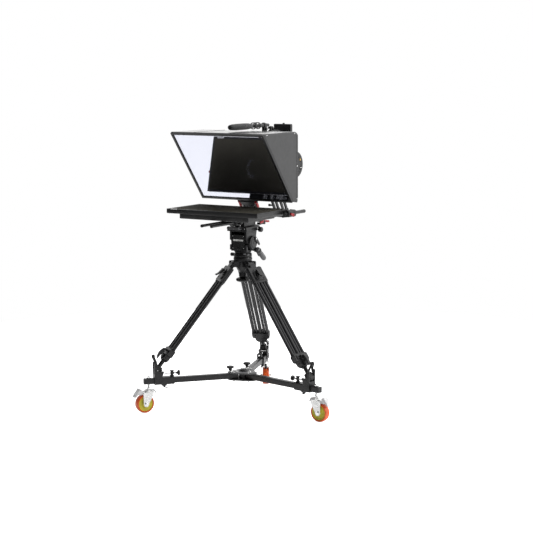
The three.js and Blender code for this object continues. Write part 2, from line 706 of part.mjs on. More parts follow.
function cameraBody() {
  const { half, front, back, floor, top } = CAMERA;
  const bodyShape = outline([
    [-half + 14, floor], [half - 14, floor], [half, floor + 22], [half, top - 30], [half - 26, top],
    [-half + 26, top], [-half, top - 30], [-half, floor + 22],
  ]);
  const { half: barHalf, post, floor: underside, top: barTop, rear } = HANDLE_BAR;
  const barFront = front + 10;
  const handle = join(
    block([-post, post], [barFront, barFront + 30], [top - 2, underside + 10]),
    block([-post, post], [rear - 30, rear], [top - 2, underside + 10]),
    block([-barHalf, barHalf], [barFront, rear], [underside, barTop]),
  );
  const { y, z, pin, knuckle, lug } = MONITOR_HINGE;
  const hinge = join(
    block([-lug, lug], [rear - 1, y], [z - knuckle, z + knuckle]),
    bar('x', knuckle, [-lug, lug], y, z, 14),
    bar('x', pin, [-lug - 8, lug + 8], y, z, 12),
  );
  const camera = join(
    prism('y', bodyShape, [front, back]),
    bar('y', LENS.radius, [LENS.front, front + 1], 0, LENS.z, 24),
    bar('x', GRIP.radius, [half - 1, GRIP.end], GRIP.y, GRIP.z, 28),
    handle,
    hinge,
  );
  return named('camera_body', camera, material.blackPlastic);
}

function microphone() {
  const { z, radius, front, back, tube, end } = MIC;
  const mic = join(
    bar('y', radius, [front, back], 0, z, 14),
    bar('y', tube, [back - 1, end], 0, z, 12),
    block([-8, 8], [218, 240], [HANDLE_BAR.top + GAP, z - 4]),
  );
  return named('microphone', mic, material.fabric);
}

// The camera's screen stands on a hinge behind the handle and tips back.
function flipMonitor() {
  const { half, front, back, floor, top } = FLIP_MONITOR;
  const { y, z, pin, knuckle, lug } = MONITOR_HINGE;
  const inner = lug + 0.6;
  const outer = lug + 8;
  const parts = [block([-half, half], [front, back], [floor, top])];
  for (const ends of [[inner, outer], [-outer, -inner]]) {
    parts.push(block(ends, [y - knuckle, y + knuckle], [z, floor + 1]), bar('x', knuckle, ends, y, z, 14));
  }
  const monitor = cut(join(...parts), bar('x', pin + 0.6, [-outer - 1, outer + 1], y, z, 12));
  return named('flip_monitor', monitor, material.blackPlastic);
}

function rodRig() {
  return gather(
    new THREE.Group(), railBlock(), ...railRods(), centreBracket(), bracketLever('left'),
    bracketLever('right'), glassFrame(), beamSplitter(), hoodShell(), monitorTray(), monitorScreen(),
    trayScrew(), sideRod(), cameraRiser(), cameraBody(), microphone(), flipMonitor(),
  );
}

// ---- Whole object ------------------------------------------------------------------------------
const teleprompter = gather(new THREE.Group(), dolly(), tripod(), fluidHead(), rodRig());
teleprompter.updateMatrixWorld(true);
const extent = new THREE.Box3().setFromObject(teleprompter, true);
const middle = extent.getCenter(new THREE.Vector3());
teleprompter.position.set(-middle.x, -middle.y, -extent.min.z);

export default teleprompter;
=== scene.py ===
import math

import bmesh
import bpy
from mathutils import Matrix, Vector


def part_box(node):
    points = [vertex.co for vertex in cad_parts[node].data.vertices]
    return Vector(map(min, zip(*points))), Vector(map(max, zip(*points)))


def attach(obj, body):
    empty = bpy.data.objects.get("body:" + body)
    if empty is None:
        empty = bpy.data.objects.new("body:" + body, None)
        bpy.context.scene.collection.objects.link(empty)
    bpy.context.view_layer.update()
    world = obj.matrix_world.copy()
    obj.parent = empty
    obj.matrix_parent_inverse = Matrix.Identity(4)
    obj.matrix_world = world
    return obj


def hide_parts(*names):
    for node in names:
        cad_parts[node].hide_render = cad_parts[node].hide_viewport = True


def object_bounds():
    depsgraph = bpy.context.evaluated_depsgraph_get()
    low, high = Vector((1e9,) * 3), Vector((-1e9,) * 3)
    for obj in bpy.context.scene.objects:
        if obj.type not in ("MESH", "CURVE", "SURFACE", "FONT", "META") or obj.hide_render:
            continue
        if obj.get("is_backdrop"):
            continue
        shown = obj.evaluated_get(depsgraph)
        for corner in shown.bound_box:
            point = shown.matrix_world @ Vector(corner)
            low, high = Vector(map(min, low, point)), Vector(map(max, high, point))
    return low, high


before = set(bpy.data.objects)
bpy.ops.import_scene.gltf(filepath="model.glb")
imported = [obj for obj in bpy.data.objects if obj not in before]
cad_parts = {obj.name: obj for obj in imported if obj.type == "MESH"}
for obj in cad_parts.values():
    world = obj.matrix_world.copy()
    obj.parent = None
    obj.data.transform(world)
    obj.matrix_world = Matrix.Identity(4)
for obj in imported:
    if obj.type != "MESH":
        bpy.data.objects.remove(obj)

scene = bpy.context.scene
cad_low, cad_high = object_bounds()

# ---- Driving dimensions, in millimetres ----------------------------------------------------------
SIDES, HANDS = ("back", "left", "right"), (("left", -1), ("right", 1))
HEADING = {"back": 108.65, "left": 228.65, "right": 348.65}  # the arms and legs, degrees from +X
TRAIL = {"back": 122.0, "left": 242.0, "right": 354.0}  # where each caster trails to
ARM_START, ARM_END, ARM_HALF, ARM_FLOOR, ARM_TOP = 32, 545, 15, 152, 182
HUB_TIP_CENTRE, HUB_TIP_RADIUS, HUB_PLATE, HUB_KNOB = 54, 34, 5.6, 74
SWIVEL_RADIUS = 523
WHEEL_TRAIL, WHEEL_RADIUS = 25, 50
HIP_RADIUS, HIP_HEIGHT, LEG_TILT, LEG_LENGTH = 56, 776, 37.5, 698
HEAD_Y, HEAD_Z = 5, 890  # tilt axis
TILT_AXIS, HIP = (0, HEAD_Y, HEAD_Z), (HIP_RADIUS, 0, HIP_HEIGHT)
HANDLE_REACH, HANDLE_DROP = 60, 52
FOOT_SCREW, PLATE_KNOB = (0, 0, 203), (0, 49, 957.5)  # points on the axes of these screws
BRAKE_PIVOT, HANDLE_PIVOT, TRAY_BOLT = (36, 0, 107), (70, 40, 848), (0, -105, 1000)
ROD_X, ROD_Z, ROD_RADIUS, ROD_FRONT, ROD_BACK = 30, 1007, 7.5, -345, 440
GLASS_Y, GLASS_Z, GLASS_SLOPE, GLASS_LENGTH = 43, 1113, 51.34, 466
RIG_HALF, HOOD_TOP, HOOD_SILL, HOOD_BACK, HOOD_INSIDE = 286, 1480, 1135, 94, 283.4
TRAY_HALF, TRAY_FRONT, TRAY_BACK, TRAY_TOP, TRAY_LIP, TRAY_FLOOR = 282, -301, 2, 1081, 1057, 1030
SIDE_ROD_X, SIDE_ROD_Z, SIDE_ROD_RADIUS, SIDE_ROD_FRONT, SIDE_ROD_BACK = 302, 1060, 9.5, -70, 136
SIDE_ROD = (SIDE_ROD_X, 0, SIDE_ROD_Z)
COLLAR_TOP, COLLAR_STEP, COLLAR_BOTTOM, COLLAR_BOSS = -560, -598, -632, -613  # down the leg
CAMERA_FLOOR, CAMERA_TOP, CAMERA_HALF, LENS_Z = 1192.4, 1335, 70, 1270
GRIP, HINGE = (0, 405, 1282), (0, 415, 1434)  # centres of the side grip and of the flip monitor's hinge
MIC_Z, MIC_FRONT, MIC_BACK, MIC_END = 1503, -124, 88, 262

# ---- Places --------------------------------------------------------------------------------------
MM = 0.001
low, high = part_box("head_base")
AXIS = Vector(((low.x + high.x) / 2, (low.y + high.y) / 2, 0))  # the tripod's axis on the floor


def turn(degrees, axis):
    return Matrix.Rotation(math.radians(degrees), 4, axis)


def shift(x, y, z):
    return Matrix.Translation((x, y, z))


TRIPOD = Matrix.Translation(AXIS) @ Matrix.Scale(MM, 4)
SLOPE = TRIPOD @ shift(0, GLASS_Y, GLASS_Z) @ turn(180 - GLASS_SLOPE, "X")


def arm_place(side):
    return TRIPOD @ turn(HEADING[side], "Z")


def caster_place(side):
    return arm_place(side) @ shift(SWIVEL_RADIUS, 0, 0) @ turn(TRAIL[side] - HEADING[side], "Z")


def leg_place(side):
    return arm_place(side) @ shift(*HIP) @ turn(-LEG_TILT, "Y")


# ---- Outlines and paths --------------------------------------------------------------------------
def arc(centre, radius, start, end, steps):
    """Points on an arc, angles in degrees."""
    angles = [math.radians(start + (end - start) * i / steps) for i in range(steps + 1)]
    return [(centre[0] + radius * math.cos(a), centre[1] + radius * math.sin(a)) for a in angles]


def rounded(corners, radius, steps=4):
    """An outline with each corner rounded. A corner may carry its own radius as a third number."""
    points = []
    for i, corner in enumerate(corners):
        here = Vector(corner[:2])
        back = Vector(corners[i - 1][:2]) - here
        ahead = Vector(corners[(i + 1) % len(corners)][:2]) - here
        wanted = corner[2] if len(corner) > 2 else radius
        reach = min(wanted, 0.48 * back.length, 0.48 * ahead.length)
        first, last = here + back.normalized() * reach, here + ahead.normalized() * reach
        for step in range(steps + 1):
            t = step / steps
            points.append(tuple(first * (1 - t) ** 2 + here * 2 * t * (1 - t) + last * t * t))
    return points


def rectangle(u0, u1, v0, v1, radius=2.0, steps=4):
    """A rectangle between limits, with rounded corners."""
    return rounded([(u0, v0), (u1, v0), (u1, v1), (u0, v1)], radius, steps)


def polygon(radius, sides=6, centre=(0, 0)):
    """A regular polygon, which stands for a circle when it has many sides."""
    return arc(centre, radius, 0, 360 - 360 / sides, sides - 1)


def hoop(inner, outer, start, end):
    """The closed (radius, height) profile of a plain ring."""
    return [(inner, start), (outer, start), (outer, end), (inner, end), (inner, start)]


def both(near, far):
    """A span on the x or y axis and its mirror image."""
    return [(near, far), (-far, -near)]


def span(sign, near, far):
    """The given span for sign 1, its mirror image for sign -1."""
    return both(near, far)[sign < 0]


def raised(axis, u, v, height):
    """A point from two coordinates across an axis and one along it."""
    return {"x": (height, u, v), "y": (u, height, v), "z": (u, v, height)}[axis]


def mirrored(half):
    """A closed (radius, height) profile, symmetric about height zero, from its upper half."""
    profile = [(r, -w) for r, w in half] + [(r, w) for r, w in reversed(half)]
    return profile + profile[:1]


def thread(start, end, radius, pitch):
    """The (radius, height) profile of a threaded rod with chamfered ends."""
    profile = [(0, start), (radius - 0.9, start), (radius - 0.5, start + 0.6)]
    for i in range(int((end - start - 2) / pitch)):
        at = start + 1 + i * pitch
        profile += [(radius - 0.55, at), (radius, at + pitch / 2)]
    return profile + [(radius - 0.9, end), (0, end)]


def curve(points, steps=6):
    """A smooth line through a few points."""
    knots = [Vector(p) for p in points]
    knots = [2 * knots[0] - knots[1]] + knots + [2 * knots[-1] - knots[-2]]
    line = []
    for a, b, c, d in zip(knots, knots[1:], knots[2:], knots[3:]):
        for step in range(steps):
            t = step / steps
            line.append(0.5 * (2 * b + (c - a) * t + (2 * a - 5 * b + 4 * c - d) * t ** 2
                    + (3 * b - a - 3 * c + d) * t ** 3))
    return line + [knots[-2]]


class Shape:
    """Solids drawn in one local frame, which together become one piece."""

    def __init__(self):
        self.mesh = bmesh.new()

    def loft(self, rings, closed=False, caps=True):
        """Skins a row of rings that have the same number of points."""
        rows = [[self.mesh.verts.new(point) for point in ring] for ring in rings]
        pairs = list(zip(rows, rows[1:])) + ([(rows[-1], rows[0])] if closed else [])
        count = len(rows[0])
        for first, second in pairs:
            for i in range(count):
                j = (i + 1) % count
                self.mesh.faces.new((first[i], first[j], second[j], second[i]))
        if caps and not closed:
            self.mesh.faces.new(rows[0])
            self.mesh.faces.new(rows[-1])
        fresh = [vertex for row in rows for vertex in row]
        bmesh.ops.remove_doubles(self.mesh, verts=fresh, dist=1e-4)
        return self

    def lathe(self, axis, profile, at=(0, 0, 0), steps=40, flutes=0, depth=0.0):
        """A turned solid from (radius, height) points. A third number is the point's share of the flutes."""
        closed = profile[0][0] > 0 and profile[0] == profile[-1]
        rings = []
        for radius, height, *share in profile[:-1] if closed else profile:
            ring = []
            for i in range(steps):
                angle = 2 * math.pi * i / steps
                fluted = radius + (share[0] if share else 0) * depth * math.cos(flutes * angle)
                u, v = fluted * math.cos(angle), fluted * math.sin(angle)
                spot = raised(axis, v, u, height) if axis == "y" else raised(axis, u, v, height)
                ring.append(Vector(spot) + Vector(at))
            rings.append(ring)
        open_end = profile[0][0] > 0 or profile[-1][0] > 0
        return self.loft(rings, closed, caps=open_end)

    def solid(self, axis, profile, *place, **how):
        """A lathe whose profile is closed to the axis by a flat face at each end."""
        return self.lathe(axis, [(0, profile[0][1]), *profile, (0, profile[-1][1])], *place, **how)

    def bar(self, axis, radius, ends, at=(0, 0, 0), steps=28):
        """A plain round bar between two heights on its axis."""
        start, end = ends
        return self.solid(axis, [(radius, start), (radius, end)], at, steps)

    def prism(self, axis, outline, start, end, at=(0, 0, 0)):
        """A flat outline thickened along an axis: x reads it as (y, z), y as (x, z), z as (x, y)."""
        return self.loft([[Vector(raised(axis, u, v, height)) + Vector(at) for u, v in outline]
                for height in (start, end)])

    def twins(self, axis, outline, near, far):
        """A prism and its mirror image across the middle plane."""
        for start, end in both(near, far):
            self.prism(axis, outline, start, end)
        return self

    def block(self, x, y, z, axis="z", radius=1.5):
        """A box between limits, with the four edges along one axis rounded."""
        spans = {"x": (y, z, x), "y": (x, z, y), "z": (x, y, z)}[axis]
        u, v, along = spans
        return self.prism(axis, rectangle(*u, *v, radius), *along)

    def pipe(self, axis, outer, inner, start, end):
        """A hollow section from two outlines with the same number of points."""
        rings = ((outer, start), (outer, end), (inner, end), (inner, start))
        return self.loft([[raised(axis, u, v, height) for u, v in outline] for outline, height in rings],
                closed=True)

    def sweep(self, path, section, up=(0, 1, 0), closed=False):
        """A section of (across, through) points carried along a path; up is the across direction."""
        path = [Vector(point) for point in path]
        rings = []
        for i, point in enumerate(path):
            before = path[i - 1] if i or closed else path[0]
            after = path[(i + 1) % len(path)] if i < len(path) - 1 or closed else path[-1]
            ahead = (after - before).normalized()
            through = Vector(up).cross(ahead)
            if through.length < 1e-6:
                through = Vector((1, 0, 0)).cross(ahead)
            through.normalize()
            across = ahead.cross(through)
            rings.append([point + across * a + through * b for a, b in section])
        return self.loft(rings, closed)

    def tube(self, path, radius, steps=12, up=(0, 1, 0)):
        return self.sweep(path, polygon(radius, steps), up)

    def screw(self, axis, at, radius, height, face=1):
        """A socket head cap screw that stands on a face; face is the direction it points along the axis."""
        hole = 0.5 * radius
        profile = [(0, 0.35), (hole, 0.35, 1), (hole, 0.96, 1), (0.9 * radius, 1), (radius, 0.9),
                (radius, -0.2), (0, -0.2)]
        turned = [(r, face * h * height, *share) for r, h, *share in profile]
        return self.lathe(axis, turned, at, steps=24, flutes=6, depth=0.07 * radius)

    def screws(self, axis, xs, ys, zs, radius, height, face=1):
        """The same screw at every crossing of three rows of numbers."""
        for x in xs:
            for y in ys:
                for z in zs:
                    self.screw(axis, (x, y, z), radius, height, face)
        return self

    def absorb(self, other, place):
        """Takes in the solids of another shape, moved to a place."""
        other.mesh.transform(place)
        moved = bpy.data.meshes.new("absorbed")
        other.mesh.to_mesh(moved)
        self.mesh.from_mesh(moved)
        bpy.data.meshes.remove(moved)
        other.mesh.free()
        return self


# ---- Materials -----------------------------------------------------------------------------------
class Look:
    """A procedural finish and the record's slot that it belongs to."""

    def __init__(self, name, slot, colour, roughness, metallic=0.0):
        self.slot = slot
        self.material = bpy.data.materials.new(name)
        self.material.use_nodes = True
        self.nodes = self.material.node_tree.nodes
        self.links = self.material.node_tree.links
        self.shader = self.nodes["Principled BSDF"]
        self.colour = colour
        self.shader.inputs["Base Color"].default_value = (*colour, 1)
        self.shader.inputs["Roughness"].default_value = roughness
        self.shader.inputs["Metallic"].default_value = metallic
        self.place = self.nodes.new("ShaderNodeTexCoord").outputs["Object"]

    def stretched(self, scale):
        mapping = self.nodes.new("ShaderNodeMapping")
        mapping.inputs["Scale"].default_value = scale
        self.links.new(self.place, mapping.inputs["Vector"])
        return mapping.outputs["Vector"]

    def noise(self, scale, detail=3.0, place=None):
        node = self.nodes.new("ShaderNodeTexNoise")
        node.inputs["Scale"].default_value = scale
        node.inputs["Detail"].default_value = detail
        self.links.new(place or self.place, node.inputs["Vector"])
        return node.outputs["Fac"]

    def cells(self, scale, place=None):
        node = self.nodes.new("ShaderNodeTexVoronoi")
        node.inputs["Scale"].default_value = scale
        self.links.new(place or self.place, node.inputs["Vector"])
        return node.outputs["Distance"]

    def remap(self, value, from_low, from_high, to_low, to_high):
        node = self.nodes.new("ShaderNodeMapRange")
        for name, number in zip(("From Min", "From Max", "To Min", "To Max"),
                (from_low, from_high, to_low, to_high)):
            node.inputs[name].default_value = number
        self.links.new(value, node.inputs["Value"])
        return node.outputs["Result"]

    def blend(self, factor, first, second):
        """Mixes two colours, each a tuple or a socket."""
        node = self.nodes.new("ShaderNodeMix")
        node.data_type = "RGBA"
        self.links.new(factor, node.inputs["Factor"])
        for name, colour in (("A", first), ("B", second)):
            socket = [s for s in node.inputs if s.name == name and s.type == "RGBA"][0]
            if isinstance(colour, tuple):
                socket.default_value = (*colour, 1)
            else:
                self.links.new(colour, socket)
        return [s for s in node.outputs if s.type == "RGBA"][0]

    def tint(self, scale, amount, worn=None, wear=0.0):
        """Cloudy variation of the colour and, with worn, a paler tone along the edges."""
        dark = tuple(c * (1 - amount) for c in self.colour)
        pale = tuple(min(1, c * (1 + amount)) for c in self.colour)
        mixed = self.blend(self.remap(self.noise(scale), 0.3, 0.7, 0, 1), dark, pale)
        if worn:
            edge = self.nodes.new("ShaderNodeNewGeometry").outputs["Pointiness"]
            mixed = self.blend(self.remap(edge, 0.53, 0.62, 0, wear), mixed, worn)
        self.links.new(mixed, self.shader.inputs["Base Color"])
        return self

    def gloss(self, scale, low_rough, high_rough, place=None):
        value = self.remap(self.noise(scale, 4.0, place), 0.3, 0.7, low_rough, high_rough)
        self.links.new(value, self.shader.inputs["Roughness"])
        return self

    def bump(self, height, strength, distance):
        node = self.nodes.new("ShaderNodeBump")
        node.inputs["Strength"].default_value = strength
        node.inputs["Distance"].default_value = distance
        self.links.new(height, node.inputs["Height"])
        self.links.new(node.outputs["Normal"], self.shader.inputs["Normal"])
        return self

    def set(self, **numbers):
        for name, value in numbers.items():
            self.shader.inputs[name.replace("_", " ")].default_value = value
        return self


def anodised(name, slot, colour, worn):
    look = Look(name, slot, colour, 0.34, 0.0).tint(35, 0.18, worn, 0.5).gloss(60, 0.27, 0.4)
    return look.bump(look.noise(2600, 2.0), 0.25, 0.00003)


def moulded(name, slot, colour, grain=1400, depth=0.00006, rough=(0.42, 0.56)):
    look = Look(name, slot, colour, 0.5).tint(28, 0.2, tuple(4 * c for c in colour), 0.3).gloss(90, *rough)
    return look.bump(look.cells(grain), 0.5, depth)


def brushed(name, slot, colour, stretch, rough=(0.25, 0.42), metallic=1.0):
    look = Look(name, slot, colour, 0.35, metallic)
    lines = look.stretched(stretch)
    look.tint(40, 0.1, tuple(min(1, 1.3 * c) for c in colour), 0.4).gloss(1, *rough, place=lines)
    return look.bump(look.noise(1, 3.0, lines), 0.18, 0.00004)


def black_metal():
    look = anodised("black_anodising", "black_anodised", (0.0065, 0.0065, 0.0072), (0.05, 0.05, 0.053))
    return look.set(Specular_IOR_Level=0.42)


def red_metal():
    look = Look("red_anodising", "red_anodised", (0.3, 0.005, 0.009), 0.3, 0.35)
    look.tint(60, 0.15, (0.5, 0.06, 0.06), 0.25).gloss(80, 0.22, 0.38)
    return look.bump(look.noise(2200, 2.0), 0.2, 0.00003)


def zinc():
    look = Look("bright_zinc", "zinc_plate", (0.88, 0.88, 0.87), 0.25, 0.55)
    look.tint(55, 0.08).gloss(120, 0.16, 0.36)
    return look.bump(look.cells(260), 0.12, 0.0001)


def polyurethane():
    look = Look("cast_polyurethane", "polyurethane_tread", (0.78, 0.105, 0.012), 0.4)
    look.tint(45, 0.16, (0.86, 0.24, 0.06), 0.3).gloss(70, 0.3, 0.5)
    return look.bump(look.noise(420, 4.0), 0.25, 0.00025).set(Coat_Weight=0.15)


def wheel_core():
    look = Look("yellow_green_core", "polyurethane_tread", (0.66, 0.6, 0.05), 0.42)
    look.tint(50, 0.14, (0.72, 0.68, 0.2), 0.4).gloss(80, 0.34, 0.52)
    return look.bump(look.noise(700, 3.0), 0.2, 0.0001)


def painted_grey():
    look = Look("grey_powder_coat", "grey_paint", (0.74, 0.74, 0.74), 0.42)
    look.tint(40, 0.1, (0.85, 0.85, 0.84), 0.5).gloss(90, 0.32, 0.5)
    return look.bump(look.cells(900), 0.25, 0.00008)


def rubber():
    look = Look("black_rubber", "black_plastic", (0.014, 0.014, 0.014), 0.7).tint(30, 0.3)
    return look.gloss(50, 0.6, 0.8).bump(look.noise(900, 5.0), 0.4, 0.0001)


def foam():
    look = Look("open_foam", "windscreen_foam", (0.022, 0.022, 0.023), 0.95).tint(160, 0.45)
    look.bump(look.cells(520), 0.9, 0.0012)
    return look.set(Sheen_Weight=0.35, Sheen_Roughness=0.4)


def hood_cloth(name="laminated_panel", slot="hood_panel", rough=(0.36, 0.46)):
    """Matt laminated panel: a tight woven face."""
    look = Look(name, slot, (0.014, 0.014, 0.015), 0.5).tint(14, 0.12, (0.04, 0.04, 0.042), 0.4)
    warp = look.noise(1, 1.0, look.stretched((900, 900, 60)))
    weft = look.noise(1, 1.0, look.stretched((60, 900, 900)))
    node = look.nodes.new("ShaderNodeMath")
    node.operation = "ADD"
    look.links.new(warp, node.inputs[0])
    look.links.new(weft, node.inputs[1])
    look.gloss(45, *rough).bump(node.outputs["Value"], 0.3, 0.00008)
    return look.set(IOR=1.56)


def flock():
    look = Look("black_flock", "hood_panel", (0.006, 0.006, 0.0065), 0.95).tint(50, 0.3)
    return look.bump(look.noise(2400, 3.0), 0.7, 0.0002).set(Specular_IOR_Level=0.1)


def display():
    look = Look("matt_display", "screen_glass", (0.058, 0.054, 0.043), 0.7)
    look.tint(9, 0.12).gloss(30, 0.64, 0.76)
    return look.bump(look.noise(3200, 1.0), 0.1, 0.00002).set(Specular_IOR_Level=0.02)


def coated_glass():
    """A partly silvered pane: most light mirrors, the rest passes straight through."""
    look = Look("beam_splitter_coating", "optical_glass", (0.80, 0.815, 0.90), 0.012, 1.0)
    look.gloss(6, 0.006, 0.02)
    clear = look.nodes.new("ShaderNodeBsdfTransparent")
    clear.inputs["Color"].default_value = (0.93, 0.95, 0.97, 1)
    mix = look.nodes.new("ShaderNodeMixShader")
    mix.inputs["Fac"].default_value = 0.9
    look.links.new(clear.outputs[0], mix.inputs[1])
    look.links.new(look.shader.outputs[0], mix.inputs[2])
    look.links.new(mix.outputs[0], look.nodes["Material Output"].inputs["Surface"])
    return look


def lens_glass():
    look = Look("coated_lens", "camera_case", (0.01, 0.008, 0.02), 0.05).gloss(20, 0.02, 0.06)
    look.tint(12, 0.5)
    return look.set(Coat_Weight=1.0, Coat_Tint=(0.55, 0.35, 0.9, 1), IOR=1.8)


LOOKS = {
    "black": black_metal(),
    "plastic": moulded("black_moulding", "black_plastic", (0.008, 0.008, 0.0085)),
    "grey": brushed("satin_grey", "grey_metal", (0.12, 0.12, 0.124), (900, 40, 900), (0.34, 0.5), 0.35),
    "chrome": brushed("bright_steel", "zinc_plate", (0.86, 0.86, 0.86), (40, 700, 700), (0.1, 0.22)),
    "zinc": zinc(),
    "paint": painted_grey(),
    "tread": polyurethane(),
    "core": wheel_core(),
    "red": red_metal(),
    "rubber": rubber(),
    "foam": foam(),
    "hood": hood_cloth(),
    "hood_top": hood_cloth("laminated_top", "hood_panel", (0.14, 0.2)),
    "flock": flock(),
    "case": moulded("monitor_case_coat", "monitor_case", (0.011, 0.011, 0.0115), 1100, 0.00009, (0.36, 0.48)),
    "camera": moulded("camera_grain", "camera_case", (0.012, 0.012, 0.013), 800, 0.00012, (0.4, 0.55)),
    "screen": display(),
    "glass": coated_glass(),
    "lens": lens_glass(),
    "print": moulded("white_print", "camera_case", (0.7, 0.7, 0.68), 500, 0.00002),
    "amber": moulded("amber_print", "camera_case", (0.65, 0.4, 0.08), 500, 0.00002),
}


def add(name, body, shape, look, place=TRIPOD, bevel=0.5, stands_for=(), segments=2, angle=32):
    """Turns a shape into a piece that rides on a body. The bevel is in millimetres."""
    bmesh.ops.recalc_face_normals(shape.mesh, faces=shape.mesh.faces)
    shape.mesh.transform(place)
    mesh = bpy.data.meshes.new(name)
    shape.mesh.to_mesh(mesh)
    shape.mesh.free()
    mesh.shade_smooth()
    if not bevel:
        mesh.set_sharp_from_angle(angle=math.radians(angle))
    piece = bpy.data.objects.new(name, mesh)
    scene.collection.objects.link(piece)
    mesh.materials.append(LOOKS[look].material)
    if bevel:
        edge = piece.modifiers.new("soft_edges", "BEVEL")
        edge.width = bevel * MM
        edge.segments = segments
        edge.limit_method = "ANGLE"
        edge.angle_limit = math.radians(angle)
        edge.harden_normals = True
    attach(piece, body)
    if stands_for:
        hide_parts(*stands_for)
    return piece


# ---- Dolly ---------------------------------------------------------------------------------------
def hub_outline(grow=0.0):
    """The hub's plan: a round tip over each arm."""
    points = []
    for side in SIDES:
        heading = HEADING[side]
        tip = [HUB_TIP_CENTRE * f(math.radians(heading)) for f in (math.cos, math.sin)]
        points += arc(tip, HUB_TIP_RADIUS + grow, heading - 60, heading + 60, 16)
    return points


def hub():
    lower, upper = ARM_FLOOR - 0.4, ARM_TOP + 0.4
    plates = Shape()
    plates.prism("z", hub_outline(), lower - HUB_PLATE, lower)
    plates.prism("z", hub_outline(), upper, upper + HUB_PLATE)
    plates.prism("z", hub_outline(-7), upper + HUB_PLATE - 0.5, upper + HUB_PLATE + 1.2)
    add("hub_plates", "base", plates, "grey", bevel=0.9, stands_for=["hub_housing"])
    column = Shape().lathe("z", [(0, 135), (17, 135), (20, 138), (26, 142), (26, 190), (24.5, 192),
            (22, 192.5), (21, 195), (17.5, 198.5), (10, 200.6), (0, 201.2)], steps=56)
    add("hub_column", "base", column, "plastic", bevel=0)
    bolts = Shape()
    for side in SIDES:
        for radius, across in ((44, 0), (60, -24), (60, 24)):
            angle = math.radians(HEADING[side])
            x = radius * math.cos(angle) - across * math.sin(angle)
            y = radius * math.sin(angle) + across * math.cos(angle)
            size, height = (7.5, 5) if across == 0 else (3.6, 2.6)
            bolts.bar("z", size + 3, (0, 1.2), (x, y, upper + HUB_PLATE + 1), 24)
            bolts.screw("z", (x, y, upper + HUB_PLATE + 2), size, height)
            bolts.prism("z", polygon(size + 1, 6, (x, y)), lower - HUB_PLATE - 5, lower - HUB_PLATE)
    add("hub_bolts", "base", bolts, "zinc", bevel=0.3)


def arm(side):
    place = arm_place(side)
    middle = (ARM_FLOOR + ARM_TOP) / 2
    outer = rectangle(-ARM_HALF, ARM_HALF, ARM_FLOOR, ARM_TOP, 3.2, 5)
    inner = rectangle(2.6 - ARM_HALF, ARM_HALF - 2.6, ARM_FLOOR + 2.6, ARM_TOP - 2.6, 1.6, 5)
    tube = Shape().pipe("x", outer, inner, ARM_START, ARM_END)
    add(f"arm_tube_{side}", "base", tube, "black", place, bevel=0.4, stands_for=[f"arm_{side}"])
    plug = Shape().prism("x", rectangle(-ARM_HALF - 0.3, ARM_HALF + 0.3, ARM_FLOOR - 0.3, ARM_TOP + 0.3, 3.4),
            ARM_END + 0.2, ARM_END + 4)
    plug.prism("x", rectangle(-10, 10, middle - 10, middle + 10, 3), ARM_END + 3.6, ARM_END + 5)
    for offset in (-8, 0, 8):
        plug.block((ARM_END - 18, ARM_END + 1), (offset - 1, offset + 1), (ARM_FLOOR + 3, ARM_TOP - 3))
    plug.lathe("z", [(6.6, ARM_TOP), (12, ARM_TOP), (12, ARM_TOP + 2), (9, ARM_TOP + 3.2),
            (6.6, ARM_TOP + 3.2), (6.6, ARM_TOP)], (SWIVEL_RADIUS, 0, 0), 28)
    add(f"arm_plug_{side}", "base", plug, "plastic", place, bevel=0.6)
    nut = Shape().prism("z", polygon(8.5, 6, (SWIVEL_RADIUS, 0)), ARM_TOP + 3, ARM_TOP + 9)
    nut.lathe("z", [(0, ARM_TOP + 8.6), (7, ARM_TOP + 8.6), (6, ARM_TOP + 12), (3.5, ARM_TOP + 14),
            (0, ARM_TOP + 14.5)], (SWIVEL_RADIUS, 0, 0), 24)
    add(f"stem_nut_{side}", "base", nut, "chrome", place, bevel=0.4)
    if side != "right":
        knob = Shape().solid("z", [(5, 170), (5, 197), (8.5, 198), (9.5, 203), (8.2, 206), (13, 207.5),
                (18.6, 210.5, 1), (19.6, 213, 1), (19.6, 217, 1), (18, 220, 0.8), (12, 222), (6, 221)],
                (HUB_KNOB, 0, 0), 64, flutes=10, depth=0.9)
        add(f"hub_lock_knob_{side}", f"hub_knob_{side}", knob, "plastic", place, bevel=0,
                stands_for=[f"hub_knob_{side}"])
        collar = Shape().lathe("z", [(6, 188), (11, 188), (11, 190.5), (8.6, 194), (6, 194), (6, 188)],
                (HUB_KNOB, 0, 0), 28)
        add(f"hub_lock_collar_{side}", "base", collar, "zinc", place, bevel=0.3)


